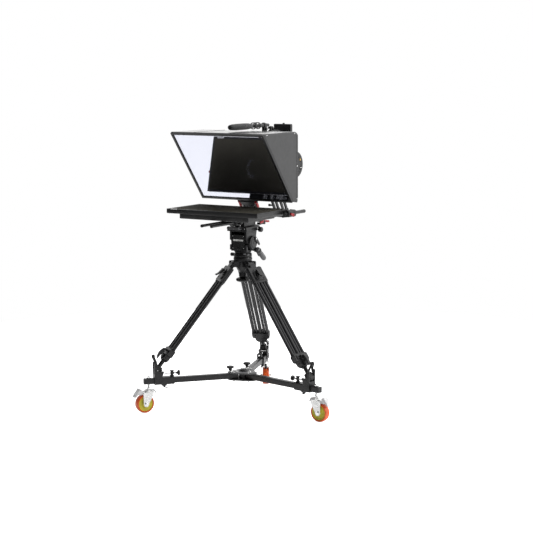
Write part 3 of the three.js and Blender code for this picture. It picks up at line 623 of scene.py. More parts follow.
def foot_holder(side):
    place = arm_place(side)
    half, floor, top = 21, 147, 187
    sleeve = Shape()
    sleeve.pipe("x", rectangle(-half, half, floor, top, 4, 5), rectangle(-ARM_HALF - 0.4, ARM_HALF + 0.4,
            ARM_FLOOR - 0.4, ARM_TOP + 0.4, 2.6, 5), 386, 494)
    cheek = rounded([(454, 163, 4), (494, 163, 3), (495, 264, 4), (484, 268, 4), (481, 232, 5), (476, 219, 4),
            (441, 219, 4), (452, 194, 6)], 4, 5)
    pad = rounded([(462, 172), (488, 172), (488, 210), (456, 210), (460, 194)], 5)
    sleeve.twins("y", cheek, 18.4, 25).twins("y", pad, 24.8, 26.2)
    sleeve.block((452, 460), (-20, 20), (top - 1, 206), "y", 3).block((478, 494), (-20, 20), (top - 1, 204),
            "y", 4)
    sleeve.block((426, 452), (-9, 9), (137, floor + 1), "y", 4)
    sleeve.solid("z", [(12, top - 1), (12, 189.5), (8.5, 192), (8.2, 212), (11.5, 213.5), (11.5, 217),
            (9, 218.5)], (396, 0, 0), 36)
    add(f"holder_sleeve_{side}", "base", sleeve, "black", place, bevel=0.7,
            stands_for=[f"foot_holder_{side}"])

    fittings = Shape()
    for face in (1, -1):
        for x, z, size in ((488, 250, 3), (466, 178, 2.4), (484, 178, 2.4)):
            fittings.screw("y", (x, 26.2 * face, z), size, 0.7 * size, face)
    fittings.bar("x", 5.8, (384, 389), FOOT_SCREW, 20)
    fittings.tube(curve([(438, -7, 139), (438, -7, 131), (438, 7, 131), (438, 7, 139)]), 1.8, 8, (1, 0, 0))
    add(f"holder_screws_{side}", "base", fittings, "plastic", place, bevel=0.25)

    lever = Shape().lathe("y", hoop(2.4, 5.5, -5, 5), (438, 0, 133), 24)
    lever.sweep(curve([(436, 0, 129.6), (429, 0, 127), (422, 0, 128), (415, 0, 124)]),
            rectangle(-5, 5, -1.6, 1.6, 1.1, 2))
    add(f"holder_lever_{side}", "base", lever, "black", place, bevel=0.3)

    strap = Shape()
    loop = curve([(486, -22, 216), (485, -20, 240), (484, -13, 262), (490, -8.5, 281), (497, -6, 296),
            (499, 0, 305), (497, 6, 296), (490, 8.5, 281), (484, 13, 262), (485, 20, 240), (486, 22, 216)], 5)
    strap.sweep(loop, rectangle(-6.5, 6.5, -2.2, 2.2, 1.7, 3), up=(1, 0, 0.2))
    tab = rounded([(487, 285), (495, 281), (503, 289), (503, 298), (494, 309), (489, 307), (488, 294)], 3, 4)
    strap.prism("y", tab, -9, 9)
    strap.solid("y", [(5, -25.6), (6, -24.6), (6, 24.6), (5, 25.6)], (488, 0, 226), 28)
    add(f"holder_strap_{side}", "base", strap, "rubber", place, bevel=0.3)

    screw = Shape().lathe("x", thread(372, 435, 3.4, 2.0), FOOT_SCREW, 16)
    screw.solid("x", [(4.6, 351), (5.6, 352.4), (5.6, 354)], FOOT_SCREW, 24)
    add(f"screw_rod_{side}", f"foot_screw_{side}", screw, "chrome", place, bevel=0)
    knob = Shape().solid("x", [(10, 352.6), (12.6, 353.6, 1), (13.6, 355, 1), (13.6, 363, 1),
            (12.6, 364.4, 1), (7, 365), (6, 373)], FOOT_SCREW, 72, flutes=18, depth=0.5)
    add(f"screw_knob_{side}", f"foot_screw_{side}", knob, "plastic", place, bevel=0,
            stands_for=[f"foot_screw_{side}"])


# ---- Casters: swivel on z, wheel trailing towards +x ---------------------------------------------
def caster(side):
    place = caster_place(side)
    swivel, wheel, brake = f"caster_swivel_{side}", f"caster_wheel_{side}", f"caster_brake_{side}"
    hub_at = (WHEEL_TRAIL, 0, WHEEL_RADIUS)
    half_tyre = [(38, 10.5), (39.8, 15), (43.5, 18.6), (46.6, 18.2), (48.8, 14.8), (49.8, 9.5), (50, 3)]
    tyre = Shape().lathe("y", mirrored(half_tyre), hub_at, 72)
    add(f"tyre_{side}", wheel, tyre, "tread", place, bevel=0, stands_for=[f"caster_wheel_{side}"], angle=50)
    half_disc = [(8.5, 15.8), (13.5, 15.8), (15, 13.6), (20, 12.8), (21.2, 14), (23, 14), (24.2, 12.8),
            (31, 12.8), (32.2, 14.2), (34, 14.2), (35, 13), (37.4, 13.4), (39.6, 15.4)]
    core = Shape().lathe("y", mirrored(half_disc), hub_at, 64)
    for i in range(8):
        angle = math.radians(45 * i)
        for face in (-1, 1):
            spot = [hub_at[0] + 27.5 * math.cos(angle), 0, hub_at[2] + 27.5 * math.sin(angle)]
            core.solid("y", [(1.9, 12.4 * face), (1.5, 13.8 * face)], spot, 14)
    add(f"wheel_core_{side}", wheel, core, "core", place, bevel=0.3)
    half_race = [(6.2, 16.2), (8, 17), (12, 17), (13, 16)]
    bearing = Shape().lathe("y", mirrored(half_race), hub_at, 40)
    add(f"wheel_bearing_{side}", wheel, bearing, "zinc", place, bevel=0.2)

    inner, outer = 21.2, 24.7
    leg = rounded([(-21, 112.5, 1), (42, 112.5, 3), (42, 98, 8), (40.5, 54, 10), (37, 37, 10), (25, 33, 8),
            (13, 37, 10), (9.5, 52, 8), (-14, 88, 12)], 6, 6)
    rib = rounded([(-6, 100), (24, 100), (28, 66), (22, 62), (14, 68)], 5, 5)
    fork = Shape()
    fork.twins("y", leg, inner, outer).twins("y", rib, outer - 0.4, outer + 1.3)
    fork.block((-21, 42), (-outer, outer), (105.5, 112.5), "x", 3.4)
    fork.lathe("z", [(0, 111), (27.5, 111), (28.4, 113), (28.4, 116), (26.6, 118), (22, 119.6), (22, 121.4),
            (19.5, 123.6), (12, 125.6), (0, 125.8)], steps=56)
    add(f"fork_{side}", swivel, fork, "zinc", place, bevel=0.6, stands_for=[f"caster_fork_{side}"])

    fittings = Shape().lathe("z", thread(124, 178, 6, 2.4), steps=20)
    fittings.prism("z", polygon(11, 6), 125.6, 133)
    for face in (1, -1):
        y = outer * face
        fittings.solid("y", [(10, y), (10, y + 1.6 * face)], hub_at, 28)
        fittings.prism("y", polygon(8.2, 6, (WHEEL_TRAIL, WHEEL_RADIUS)),
                *span(face, outer + 1.5, outer + 6.5))
        fittings.lathe("y", [(0, y + 6 * face), (5.4, y + 6 * face), (4.6, y + 8 * face),
                (0, y + 8.4 * face)], hub_at, 20)
        fittings.screw("y", (36, y, 107), 4.6, 2.8, face)
    fittings.bar("y", 5.2, (-outer, outer), hub_at).bar("y", 3, (-outer, outer), BRAKE_PIVOT)
    add(f"caster_bolts_{side}", swivel, fittings, "chrome", place, bevel=0.2)

    lock = Shape().sweep(curve([(-6, 0, 122), (-22, 0, 122.5), (-32, 0, 117), (-38, 0, 106), (-41, 0, 100)]),
            rectangle(-6, 6, -1.3, 1.3, 1.0, 2))
    lock.screw("z", (-14, 0, 122.6), 4, 3)
    for across in (-17, 17):
        lock.screw("z", (24, across * 0.8, 112.4), 4.2, 3)
    add(f"swivel_latch_{side}", swivel, lock, "plastic", place, bevel=0.3)

    pedal = Shape()
    sheet = [(30, 0, 114), (40, 0, 114), (46, 0, 117), (50, 0, 128), (59, 0, 131.5), (64, 0, 121),
            (72, 0, 112), (80, 0, 102), (86, 0, 88)]
    pedal.sweep(curve(sheet, 4), rectangle(-17.6, 17.6, -1.3, 1.3, 1.1, 3))
    for across in (-9, 0, 9):
        pedal.tube(curve([(65, across, 122), (72, across, 113.6), (79, across, 104.6), (83, across, 97)], 4),
                1.5, 8)
    pedal.twins("y", rounded([(31, 101), (45, 101), (60, 104), (72, 99), (80, 88), (82, 96), (64, 119),
            (58, 128), (50, 126), (45, 114), (31, 114)], 3, 3), 14.6, 17)
    pedal.lathe("y", hoop(3.6, 6.2, -19.6, 19.6), BRAKE_PIVOT, 28)
    pedal.block((44, 56), (-9, 9), (97, 103), "y", 2)
    add(f"brake_plate_{side}", brake, pedal, "paint", place, bevel=0.3, stands_for=[f"caster_brake_{side}"])


# ---- Tripod --------------------------------------------------------------------------------------
def crown():
    body = Shape().lathe("z", [(8.4, 704), (20, 704), (22, 706), (22, 730), (28, 738), (36, 754), (38.5, 762),
            (38.5, 790), (47, 790.5), (49, 792.5), (49, 809), (47.5, 811.6), (8.4, 811.6), (8.4, 704)],
            steps=72)
    body.lathe("z", [(48.6, 796), (50.4, 797), (50.4, 805), (48.6, 806), (48.6, 796)], steps=72)
    for side in SIDES:
        lug = Shape()
        outline = rounded([(20, 760, 2), (HIP_RADIUS + 14, 760, 13), (HIP_RADIUS + 14, 791, 8), (20, 791, 1)],
                6, 6)
        lug.twins("y", outline, 20.5, 29)
        for face in (-1, 1):
            lug.solid("y", [(11, 29 * face), (10, 31 * face)], HIP, 28)
        lug.bar("y", 4, (-29, 29), HIP)
        body.absorb(lug, turn(HEADING[side], "Z"))
    for i in range(9):
        first, last = 40 * i - 2.4, 40 * i + 2.4
        body.prism("z", arc((0, 0), 40.5, first, last, 3) + arc((0, 0), 36, last, first, 3), 764, 788)
    add("crown_casting", "base", body, "black", bevel=0.7, stands_for=["crown"])
    bolts = Shape()
    for side in SIDES:
        part = Shape()
        for face in (1, -1):
            part.screw("y", (HIP_RADIUS, 31 * face, HIP_HEIGHT), 6.4, 4.4, face)
        bolts.absorb(part, turn(HEADING[side], "Z"))
    add("hip_bolts", "base", bolts, "plastic", bevel=0.2)
    knob = Shape().lathe("z", [(0, 678), (14, 677), (24, 677.4), (31, 679.5, 0.8), (35.4, 683, 1),
            (36.4, 688, 1), (35, 693.5, 1), (30, 697, 0.7), (22, 700), (14, 702), (7.5, 703.4), (7.5, 738),
            (0, 738)], steps=96, flutes=12, depth=1.3)
    add("tie_down_grip", "tie_down_knob", knob, "plastic", bevel=0, stands_for=["tie_down_knob"])


def leg(side):
    place = leg_place(side)
    upper, lower = f"leg_{side}", f"leg_stage_{side}"
    casting = Shape()
    shoulder = rounded([(-49, -27, 8), (-49, -120, 8), (49, -120, 8), (49, -27, 8)], 8, 6)
    half_collar = [(50, COLLAR_TOP, 5), (50, COLLAR_STEP, 6), (34, COLLAR_STEP - 4, 5),
            (33, COLLAR_BOTTOM + 12, 6), (20, COLLAR_BOTTOM, 6)]
    collar = rounded([(-y, z, r) for y, z, r in half_collar] + half_collar[::-1], 5, 5)
    casting.prism("x", shoulder, -11.4, 13.4).prism("x", collar, -15, 17)
    casting.prism("x", rounded([(-14, -40), (-32, -58), (-32, -108), (32, -108), (32, -58), (14, -40)], 7, 5),
            13, 17)
    casting.prism("x", rectangle(-38, 38, COLLAR_STEP + 9, COLLAR_TOP - 8, 5, 5), 17.6, 20.4)
    casting.lathe("y", [(4.8, -20), (11, -20), (12.4, -18.6), (12.4, 18.6), (11, 20), (4.8, 20), (4.8, -20)],
            steps=36)
    casting.block((-11, 11), (-20, 20), (-36, -6), "y", 3)
    for offset, radius in ((40.5, 8.6), (21.8, 6.6)):
        for y in (-offset, offset):
            casting.solid("z", [(radius + 2.4, -128), (radius + 3, -126), (radius + 3, -118)], (0, y, 0), 28)
            casting.solid("z", [(radius + 3, -2), (radius + 3, 6), (radius + 2.4, 8)], (0, y, COLLAR_TOP), 28)
    casting.solid("x", [(15, 17), (15, 22.4), (13.4, 24)], (0, 0, COLLAR_BOSS), 36)
    casting.lathe("z", [(11.7, -5), (16, -5), (18, -3), (18, 2), (11.7, 2), (11.7, -5)],
            (0, 0, COLLAR_BOTTOM), 36)
    add(f"leg_castings_{side}", upper, casting, "black", place, bevel=0.8, stands_for=[f"leg_upper_{side}"])
    tubes = Shape()
    for offset, radius, top in ((40.5, 9.6, -24), (21.8, 7.6, -44)):
        for y in (-offset, offset):
            tubes.bar("z", radius, (COLLAR_TOP - 10, top), (0, y, 0), 32)
    add(f"leg_tubes_{side}", upper, tubes, "black", place, bevel=0)
    fittings = Shape().lathe("x", hoop(9, 12.4, 23.6, 25.2), (0, 0, COLLAR_BOSS), 32)
    fittings.screws("x", (17,), (-25, 25), (-68, -100), 3.2, 2)
    fittings.screws("x", (20.4,), (-30, 30), (COLLAR_TOP - 19,), 3.2, 2)
    fittings.screws("x", (-15,), (-30, 30), (COLLAR_TOP - 19,), 3.2, 2, -1)
    fittings.screw("y", (6, 33.2, COLLAR_BOSS), 4.4, 3).screw("y", (6, -33.2, COLLAR_BOSS), 4.4, 3, -1)
    add(f"leg_screws_{side}", upper, fittings, "plastic", place, bevel=0.2)

    stage = Shape().bar("z", 11, (-LEG_LENGTH + 22, -104), steps=36)
    stage.solid("z", [(13, -676), (13.6, -674.6), (13.6, -671), (12.6, -670)], steps=36)
    stage.bar("z", 12, (-104.5, -108), steps=36)
    add(f"centre_tube_{side}", lower, stage, "black", place, bevel=0.4, stands_for=[f"leg_lower_{side}"])
    foot = Shape().solid("y", [(12, -17), (14.4, -15), (15.4, -9), (15.4, 9), (14.4, 15), (12, 17)],
            (0, 0, -LEG_LENGTH), 36)
    foot.prism("y", rounded([(-21, -LEG_LENGTH), (15, -LEG_LENGTH), (13, -669, 6), (-18, -669, 6)], 4, 4),
            -14, 14)
    for face in (-1, 1):
        foot.lathe("z", [(0, -LEG_LENGTH - 20), (1.6, -LEG_LENGTH - 17), (4.6, -LEG_LENGTH - 12),
                (0, -LEG_LENGTH - 12)], (0, 8 * face, 0), 16)
    add(f"foot_{side}", lower, foot, "rubber", place, bevel=0.5)
    cap = Shape()
    for face in (1, -1):
        cap.screw("y", (0, 17 * face, -LEG_LENGTH), 6.2, 1.4, face)
    add(f"foot_pin_{side}", lower, cap, "chrome", place, bevel=0.2)

    flip = Shape().solid("y", [(5.6, -14), (6.5, -13), (6.5, 13), (5.6, 14)], (25.5, 0, -56), 28)
    blade = [(28, 0, -58), (31, 0, -71), (33, 0, -84), (38, 0, -95), (42, 0, -102)]
    flip.sweep(curve(blade, 5), rectangle(-13, 13, -2.6, 2.6, 2.2, 4))
    flip.prism("y", rounded([(21, -50), (31, -52), (33, -78), (25, -84), (20, -70)], 4, 4), -9, 9)
    add(f"upper_flip_lever_{side}", f"upper_lever_{side}", flip, "plastic", place, bevel=0.6,
            stands_for=[f"upper_lever_{side}"])
    flip = Shape().solid("y", [(5.6, -16), (6.5, -15), (6.5, 15), (5.6, 16)], (26, 0, -578), 28)
    fin = rounded([(24, -592, 2), (29, -586, 3), (37, -575, 3), (44, -588, 8), (48.5, -612, 10),
            (43, -634, 6), (35, -644, 3), (34, -632, 5), (33, -616, 6), (28, -602, 4)], 4, 6)
    flip.prism("y", fin, -8, 8)
    add(f"lower_flip_lever_{side}", f"lower_lever_{side}", flip, "plastic", place, bevel=0.6,
            stands_for=[f"lower_lever_{side}"])


# ---- Fluid head ----------------------------------------------------------------------------------
def head():
    base = Shape().solid("z", [(47, 812.4), (48.4, 814), (48.4, 828.6), (47, 831), (44.6, 832.6),
            (43.2, 834.6), (43.2, 838)], steps=96)
    base.lathe("z", [(48, 817), (49.2, 818.2), (49.2, 820.4), (48, 821.6), (48, 817)], steps=96)
    add("bowl_base", "base", base, "black", bevel=0.3, stands_for=["head_base"])
    level = Shape().solid("z", [(7, 829), (7, 834.6), (6, 835.4), (5, 834.8)], (33, -37, 0), 28)
    add("bubble_level", "base", level, "grey", bevel=0.2)
    lock = Shape().solid("x", [(7, -76), (8.6, -75, 0.7), (9.2, -73, 1), (9.2, -61, 1), (8.4, -58.6, 0.5),
            (6.4, -57), (4, -56), (4, -42)], (0, 0, 820), 64, flutes=10, depth=0.55)
    add("pan_lock_grip", "pan_lock_knob", lock, "plastic", bevel=0, stands_for=["pan_lock_knob"])

    body = Shape().solid("z", [(44.6, 838.5), (46, 840), (46, 845), (44.8, 847)], steps=72)
    body.prism("z", rounded([(-50, -42, 7), (50, -42, 7), (50, 52, 10), (-50, 52, 10)], 7, 6), 845.5, 851.3)
    side = [(-42, 847), (52, 847)] + arc((HEAD_Y, HEAD_Z), 55, 31, 149, 30)
    body.prism("x", side, -39.8, 39.8)
    body.bar("x", 13, (-53.6, 53.6), TILT_AXIS, 40)
    body.prism("y", rectangle(-36, 36, 856, 932, 5, 5), -44.6, -41)
    body.prism("y", rounded([(-30, 848), (30, 848), (14, 872, 8), (-14, 872, 8)], 3, 5), -45.4, -42)
    body.solid("y", [(6.5, -47.2), (8, -46), (8, -44)], (0, 0, 858), 28)
    for start, end in both(39, 53):
        body.block((start, end), (-45, -32), (850.8, 880), "y", 3)
    body.prism("x", rectangle(30, 60, 841, 860, 8, 6), 39, 53.6)
    body.solid("x", [(12.6, 52, 1), (12.6, 54.6, 1)], (0, *HANDLE_PIVOT[1:]), 72, flutes=24, depth=0.4)
    add("head_housing", "head", body, "black", bevel=0.8, stands_for=["head_body"])
    drum = Shape().solid("x", [(14, -64), (15, -63.4), (16, -61.4), (20.4, -61.4, 1), (22, -60, 1),
            (22, -55.4, 1), (20.6, -53.6, 1)], TILT_AXIS, 96, flutes=20, depth=0.5)
    add("drag_drum", "head", drum, "plastic", bevel=0)
    plate = Shape().prism("y", rectangle(-31, 31, 899, 908, 1.6), -45.4, -44.4)
    add("blank_name_plate", "head", plate, "print", bevel=0.15)

    ring = Shape().lathe("x", [(27.6, 54.4), (34.6, 54.4, 0.4), (36, 55.6, 1), (36, 62, 1), (34, 66, 0.7),
            (30, 68), (27.6, 68), (27.6, 54.4)], TILT_AXIS, 108, flutes=18, depth=0.55)
    add("drag_dial_ring", "tilt_dial", ring, "plastic", bevel=0, stands_for=["tilt_dial"])
    cap = Shape().solid("x", [(27.2, 53.4), (27.2, 67.6), (25.4, 69.6), (21, 70.6), (19.8, 69.6), (9, 69.6),
            (7.6, 71)], TILT_AXIS, 72)
    add("drag_dial_cap", "head", cap, "case", bevel=0.3)
    lever = Shape().prism("x", rounded([(6, 921, 6), (22, 921, 6), (54, 882, 3), (52, 871, 3), (40, 877, 4),
            (8, 905, 5)], 4, 5), 70, 74.6)
    lever.solid("x", [(9, 66), (9, 75), (7.6, 76)], (0, 14, 912), 32)
    add("tilt_lock_lever", "head", lever, "plastic", bevel=0.8)
    pivot = Shape().screw("x", (76, 14, 912), 5.6, 3.2)
    pivot.screws("y", (-33, 33), (-44.6,), (926, 862), 2.4, 1.8, -1)
    add("head_screws", "head", pivot, "chrome", bevel=0.2)

    length = math.hypot(HANDLE_REACH, HANDLE_DROP)
    handle_place = TRIPOD @ shift(*HANDLE_PIVOT) @ turn(-math.degrees(math.atan2(HANDLE_REACH, -HANDLE_DROP)),
            "X")
    grip = Shape().lathe("z", [(0, -14), (8, -13), (12, -9.6), (13, -5), (13, 17), (11.6, 18.4), (11.4, 24),
            (12.4, 25.4), (13.4, 30), (14, 38), (14, length - 6), (13, length), (10.4, length + 5),
            (6, length + 8), (0, length + 9)], steps=40)
    add("pan_handle_stub", "pan_handle", grip, "grey", handle_place, bevel=0.3, stands_for=["pan_handle"])
    clamp = Shape().lathe("z", [(13.2, 1), (15, 1), (15.6, 2), (15.6, 11), (15, 12), (13.2, 12), (13.2, 1)],
            steps=40)
    clamp.solid("x", [(11.8, -8, 1), (11.8, -12.4, 1), (10, -15.4, 1)], steps=72, flutes=24, depth=0.4)
    clamp.prism("x", rounded([(8, -14), (14, -14), (24, 6), (26, 22), (20, 24), (12, 8)], 4, 4), 2, 8)
    add("pan_handle_clamp", "pan_handle", clamp, "plastic", handle_place, bevel=0.4)


def platform():
    deck = Shape()
    deck.prism("z", rounded([(-62, -60, 6), (62, -60, 6), (62, 75, 6), (-62, 75, 6)], 6, 5), 952, 963)
    for sign in (-1, 1):
        rail = rounded([(35.4 * sign, 962), (62 * sign, 962), (62 * sign, 972, 4), (56 * sign, 976.4, 3),
                (37 * sign, 976.4, 1.5), (33.6 * sign, 973.4, 1), (35.4 * sign, 970, 1)], 1, 4)
        deck.prism("y", rail, -60, 75)
        cheek = arc((HEAD_Y, HEAD_Z), 38, 180, 360, 32) + [(57, 953), (-46, 953)]
        deck.prism("x", cheek, *span(sign, 40.8, 52.8))
        deck.block(span(sign, 40.8, 53), (-46, -30), (904, 953), "y", 3)
        window = arc((HEAD_Y, HEAD_Z), 31, 190, 350, 24) + [(46, 944), (-36, 944)]
        deck.prism("x", window, *span(sign, 52.4, 53.6))
    deck.block((-30, 30), (-62.4, -59), (954, 961), "y", 2).block((-40, 40), (-44, 50), (948.6, 953), "y", 2)
    add("tilt_deck", "tilt_platform", deck, "black", bevel=0.8, stands_for=["tilt_platform"])
    fittings = Shape()
    fittings.screws("y", (-50, 50), (-60,), (969,), 3.2, 1, -1)
    fittings.screws("x", (-62,), (-30, 44), (957,), 3.4, 2.4, -1)
    fittings.bar("x", 7.4, (61, 64), PLATE_KNOB, 28)
    fittings.lathe("z", [(0, 962), (3.4, 962), (3.4, 973), (2.4, 975), (0, 975.4)], (-48, 66, 0), 20)
    add("deck_fittings", "tilt_platform", fittings, "chrome", bevel=0.2)
    knob = Shape().lathe("x", [(0, 55), (3.6, 55), (3.6, 69), (8, 70), (12, 71.4, 0.6), (13, 74, 1),
            (13, 87, 1), (12, 90.4, 0.8), (8.6, 92), (0, 91)], PLATE_KNOB, 72, flutes=12, depth=0.7)
    add("plate_lock_grip", "plate_knob", knob, "plastic", bevel=0, stands_for=["plate_knob"])


# ---- Rod rig -------------------------------------------------------------------------------------
def rail_clamp(shape, y, z, half=46, corner=4.0):
    """A block that grips both rods, split along the rods' centre plane."""
    front, back = y
    floor, top = z
    lower = rounded([(-half, ROD_Z - 0.8, 1), (-half, floor, corner), (half, floor, corner),
            (half, ROD_Z - 0.8, 1)], 1, 4)
    upper = rounded([(-half, ROD_Z + 0.8, 1), (half, ROD_Z + 0.8, 1), (half, top, corner),
            (-half, top, corner)], 1, 4)
    shape.prism("y", lower, front, back).prism("y", upper, front, back)
    shape.block((-half + 4, half - 4), (front + 3, back - 3), (ROD_Z - 1, ROD_Z + 1))
    for x in (-ROD_X, ROD_X):
        collar = [(ROD_RADIUS + 0.3, front - 1), (ROD_RADIUS + 3.4, front - 1), (ROD_RADIUS + 4, front),
                (ROD_RADIUS + 4, back), (ROD_RADIUS + 3.4, back + 1), (ROD_RADIUS + 0.3, back + 1)]
        shape.lathe("y", collar + collar[:1], (x, 0, ROD_Z), 36)
    return shape


def rod_rig():
    plate = Shape()
    section = rounded([(-34.6, 963.6, 1), (34.6, 963.6, 1), (34.6, 970, 1), (30, 973.4, 1), (30, 977.4, 1.2),
            (-30, 977.4, 1.2), (-30, 973.4, 1), (-34.6, 970, 1)], 1, 3)
    plate.prism("y", section, -95, 95)
    for start, end in both(29.6, 30.6):
        for y in range(-85, 86, 10):
            plate.block((start, end), (y - 0.5, y + 0.5), (973.6, 976.8), "y", 0.3)
    add("sliding_plate", "rig", plate, "grey", bevel=0.6, stands_for=["slide_plate"])
    bolts = Shape()
    for y in (-60, 60):
        bolts.solid("z", [(6.6, 971), (6.6, 978.4), (6, 979)], (-22 if y < 0 else 22, y, 0), 28)
    for x in (-27, 22):
        bolts.solid("y", [(4.6, -64), (5.4, -63), (5.4, -57), (4, -56), (4, -54)], (x, 0, 985), 28)
    bolts.bar("z", 3, (976, 984), (0, 82, 0), 20).bar("z", 3, (976, 984), (0, -82, 0), 20)
    add("plate_screws", "rig", bolts, "chrome", bevel=0.3)

    block = rail_clamp(Shape(), (-55, 55), (978, 1021))
    block.prism("z", rectangle(-38, 38, -47, 47, 6, 5), 1020.6, 1023)
    block.twins("x", rectangle(-40, 40, 984, 1000, 4, 4), 45.6, 47.4)
    add("rod_block", "rig", block, "black", bevel=0.7, stands_for=["rail_block"])
    screws = Shape()
    screws.screws("z", (-38, 38), (-40, 40), (1020.8,), 3.4, 2.6)
    screws.screws("y", (-10, 10), (-55,), (989, 1014), 3.4, 2.6, -1)
    add("rod_block_screws", "rig", screws, "chrome", bevel=0.2)
    for side, x in (("left", -ROD_X), ("right", ROD_X)):
        rod = Shape().solid("y", [(ROD_RADIUS - 0.8, ROD_FRONT + 3), (ROD_RADIUS, ROD_FRONT + 4),
                (ROD_RADIUS, ROD_BACK - 4), (ROD_RADIUS - 0.8, ROD_BACK - 3)], (x, 0, ROD_Z), 40)
        add(f"support_rod_{side}", "rig", rod, "black", bevel=0, stands_for=[f"rail_rod_{side}"])
        caps = Shape().solid("y", [(5, ROD_FRONT), (8.2, ROD_FRONT + 2), (8.2, ROD_FRONT + 12),
                (7.4, ROD_FRONT + 13)], (x, 0, ROD_Z), 32)
        caps.solid("y", [(5, ROD_BACK), (8.2, ROD_BACK - 2), (8.2, ROD_BACK - 12), (7.4, ROD_BACK - 13)],
                (x, 0, ROD_Z), 32)
        add(f"rod_caps_{side}", "rig", caps, "rubber", bevel=0)


def centre_bracket():
    arm = Shape()
    wings = rounded([(-42, -13, 1), (-42, -60, 6), (-34, -118, 4), (34, -118, 4), (42, -60, 6), (42, -13, 1)],
            4, 5)
    channel = rounded([(-30, -30), (-30, -62), (-25, -96), (25, -96), (30, -62), (30, -30)], 5, 5)
    arm.prism("z", wings, -8, 4.2)
    arm.pipe("z", wings, channel, 4, 8)
    for x in (-14, 0, 14):
        arm.block((x - 1.6, x + 1.6), (-95, -32), (3.8, 6.6), "y", 1)
    arm.bar("x", 8, (-42, 42), (0, -13, 0), 32).bar("x", 3, (-47, 47), (0, -13, 0), 24)
    add("bracket_arm", "rig", arm, "black", SLOPE, bevel=0.7, stands_for=["centre_bracket"])
    foot = rail_clamp(Shape(), (104, 150), (990, 1024))
    foot.prism("x", rounded([(106, 1022), (148, 1022), (140, 1036), (120, 1046), (112, 1038)], 4, 4), -32, 32)
    add("bracket_foot", "rig", foot, "black", bevel=0.8)
    screws = Shape()
    screws.screws("z", (-36, 36), (-70, -34), (8,), 2.8, 2.2)
    add("bracket_screws", "rig", screws, "chrome", SLOPE, bevel=0.2)

    for index, (start, end) in enumerate(((120, 74), (126, 164))):
        lever = Shape().solid("x", [(7.4, 45), (7.4, 57), (6, 59)], (0, start, 993), 32)
        middle = (start + end) / 2
        sweep = [(56, start, 993), (60, 0.6 * start + 0.4 * end, 992.4), (62, middle, 991.6), (62, end, 990)]
        lever.sweep(curve(sweep, 5), rectangle(-5.6, 5.6, -3.2, 3.2, 2.4, 3), up=(0, 0, 1))
        add(f"rod_clamp_lever_{index + 1}", "rig", lever, "red", bevel=0.4)
    hubs = Shape()
    for y in (120, 126):
        hubs.solid("x", [(5, 58.6), (5, 61.4), (4, 62.4)], (0, y, 993), 28)
    for y in (84, 128):
        hubs.solid("x", [(7, 40), (7, 58), (6, 59.4)], (0, y, 983.5), 28)
    hubs.block((44, 56), (78, 136), (978.4, 986), "x", 3)
    add("rod_clamp_hubs", "rig", hubs, "plastic", bevel=0.4)

    for side, sign in HANDS:
        lever = Shape().prism("x", rounded([(-10, -7, 4), (-10, 7, 4), (-30, 10, 5), (-52, 13, 6),
                (-58, 5, 4), (-48, -3, 6), (-28, -6, 6)], 5, 6), *span(sign, 50, 57.4))
        lever.solid("x", [(9.4, 47.6 * sign), (9.4, 57 * sign), (8, 58.4 * sign)], (0, -13, 0), 36)
        add(f"glass_lock_lever_{side}", f"bracket_lever_{side}", lever, "red", SLOPE, bevel=0.9,
                stands_for=[f"bracket_lever_{side}"])
        hub = Shape().solid("x", [(5.8, 58 * sign), (5.8, 60.6 * sign), (4.6, 61.6 * sign),
                (2.4, 61.6 * sign), (2.4, 59.6 * sign)], (0, -13, 0), 28)
        add(f"glass_lock_pin_{side}", f"bracket_lever_{side}", hub, "plastic", SLOPE, bevel=0.2)


# ---- Beam splitter and hood ----------------------------------------------------------------------
def pane(inset, corner):
    """The glass frame's outline in its own plane, drawn in by inset."""
    return rectangle(inset - RIG_HALF, RIG_HALF - inset, inset, GLASS_LENGTH - inset, corner, 4)


def glass():
    bars = Shape().pipe("z", pane(0, 3), pane(12, 1), -6, 6)
    for sign in (-1, 1):
        ear = rounded([(-21, -6, 5), (-21, 6, 5), (3, 6, 1), (3, -6, 1)], 4, 5)
        bars.prism("x", ear, *span(sign, 42.8, 46.8))
        bars.bar("x", 5, (46.4 * sign, 47.4 * sign), (0, -13, 0), 28)
        bars.block(span(sign, 30, 60), (-1.2, 12), (-7, 7), "x", 1.5)
    add("frame_bars", "hood", bars, "black", SLOPE, bevel=0.6, stands_for=["glass_frame"])
    seal = Shape()
    for start, end in both(1.55, 3.6):
        seal.pipe("z", pane(11.6, 1.4), pane(14.2, 1), start, end)
    add("glass_seal", "hood", seal, "rubber", SLOPE, bevel=0.3)
    screws = Shape()
    screws.screws("z", (-RIG_HALF + 6, RIG_HALF - 6), (20, GLASS_LENGTH / 2, GLASS_LENGTH - 20), (6,), 2.4,
            1.2)
    screws.screws("z", (-200, -100, 100, 200), (6, GLASS_LENGTH - 6), (6,), 2.4, 1.2)
    add("frame_screws", "hood", screws, "plastic", SLOPE, bevel=0.2)


def hood_profile(inset, corner=16.0):
    """The hood's side as (y, z), from the foot of the slope up, over the top and down the back."""
    slope = math.radians(GLASS_SLOPE)
    foot_y, foot_z = GLASS_Y + (6.4 + inset) / math.sin(slope), GLASS_Z + inset
    top, back = HOOD_TOP - inset, HOOD_BACK - inset
    nose_y = foot_y - (top - foot_z) / math.tan(slope)
    return [(foot_y, foot_z, 1), (nose_y, top, 1), (back - 26, top, 10), (back, top - corner, 8),
            (back, HOOD_SILL, 6), (back - 8, foot_z, 4)]


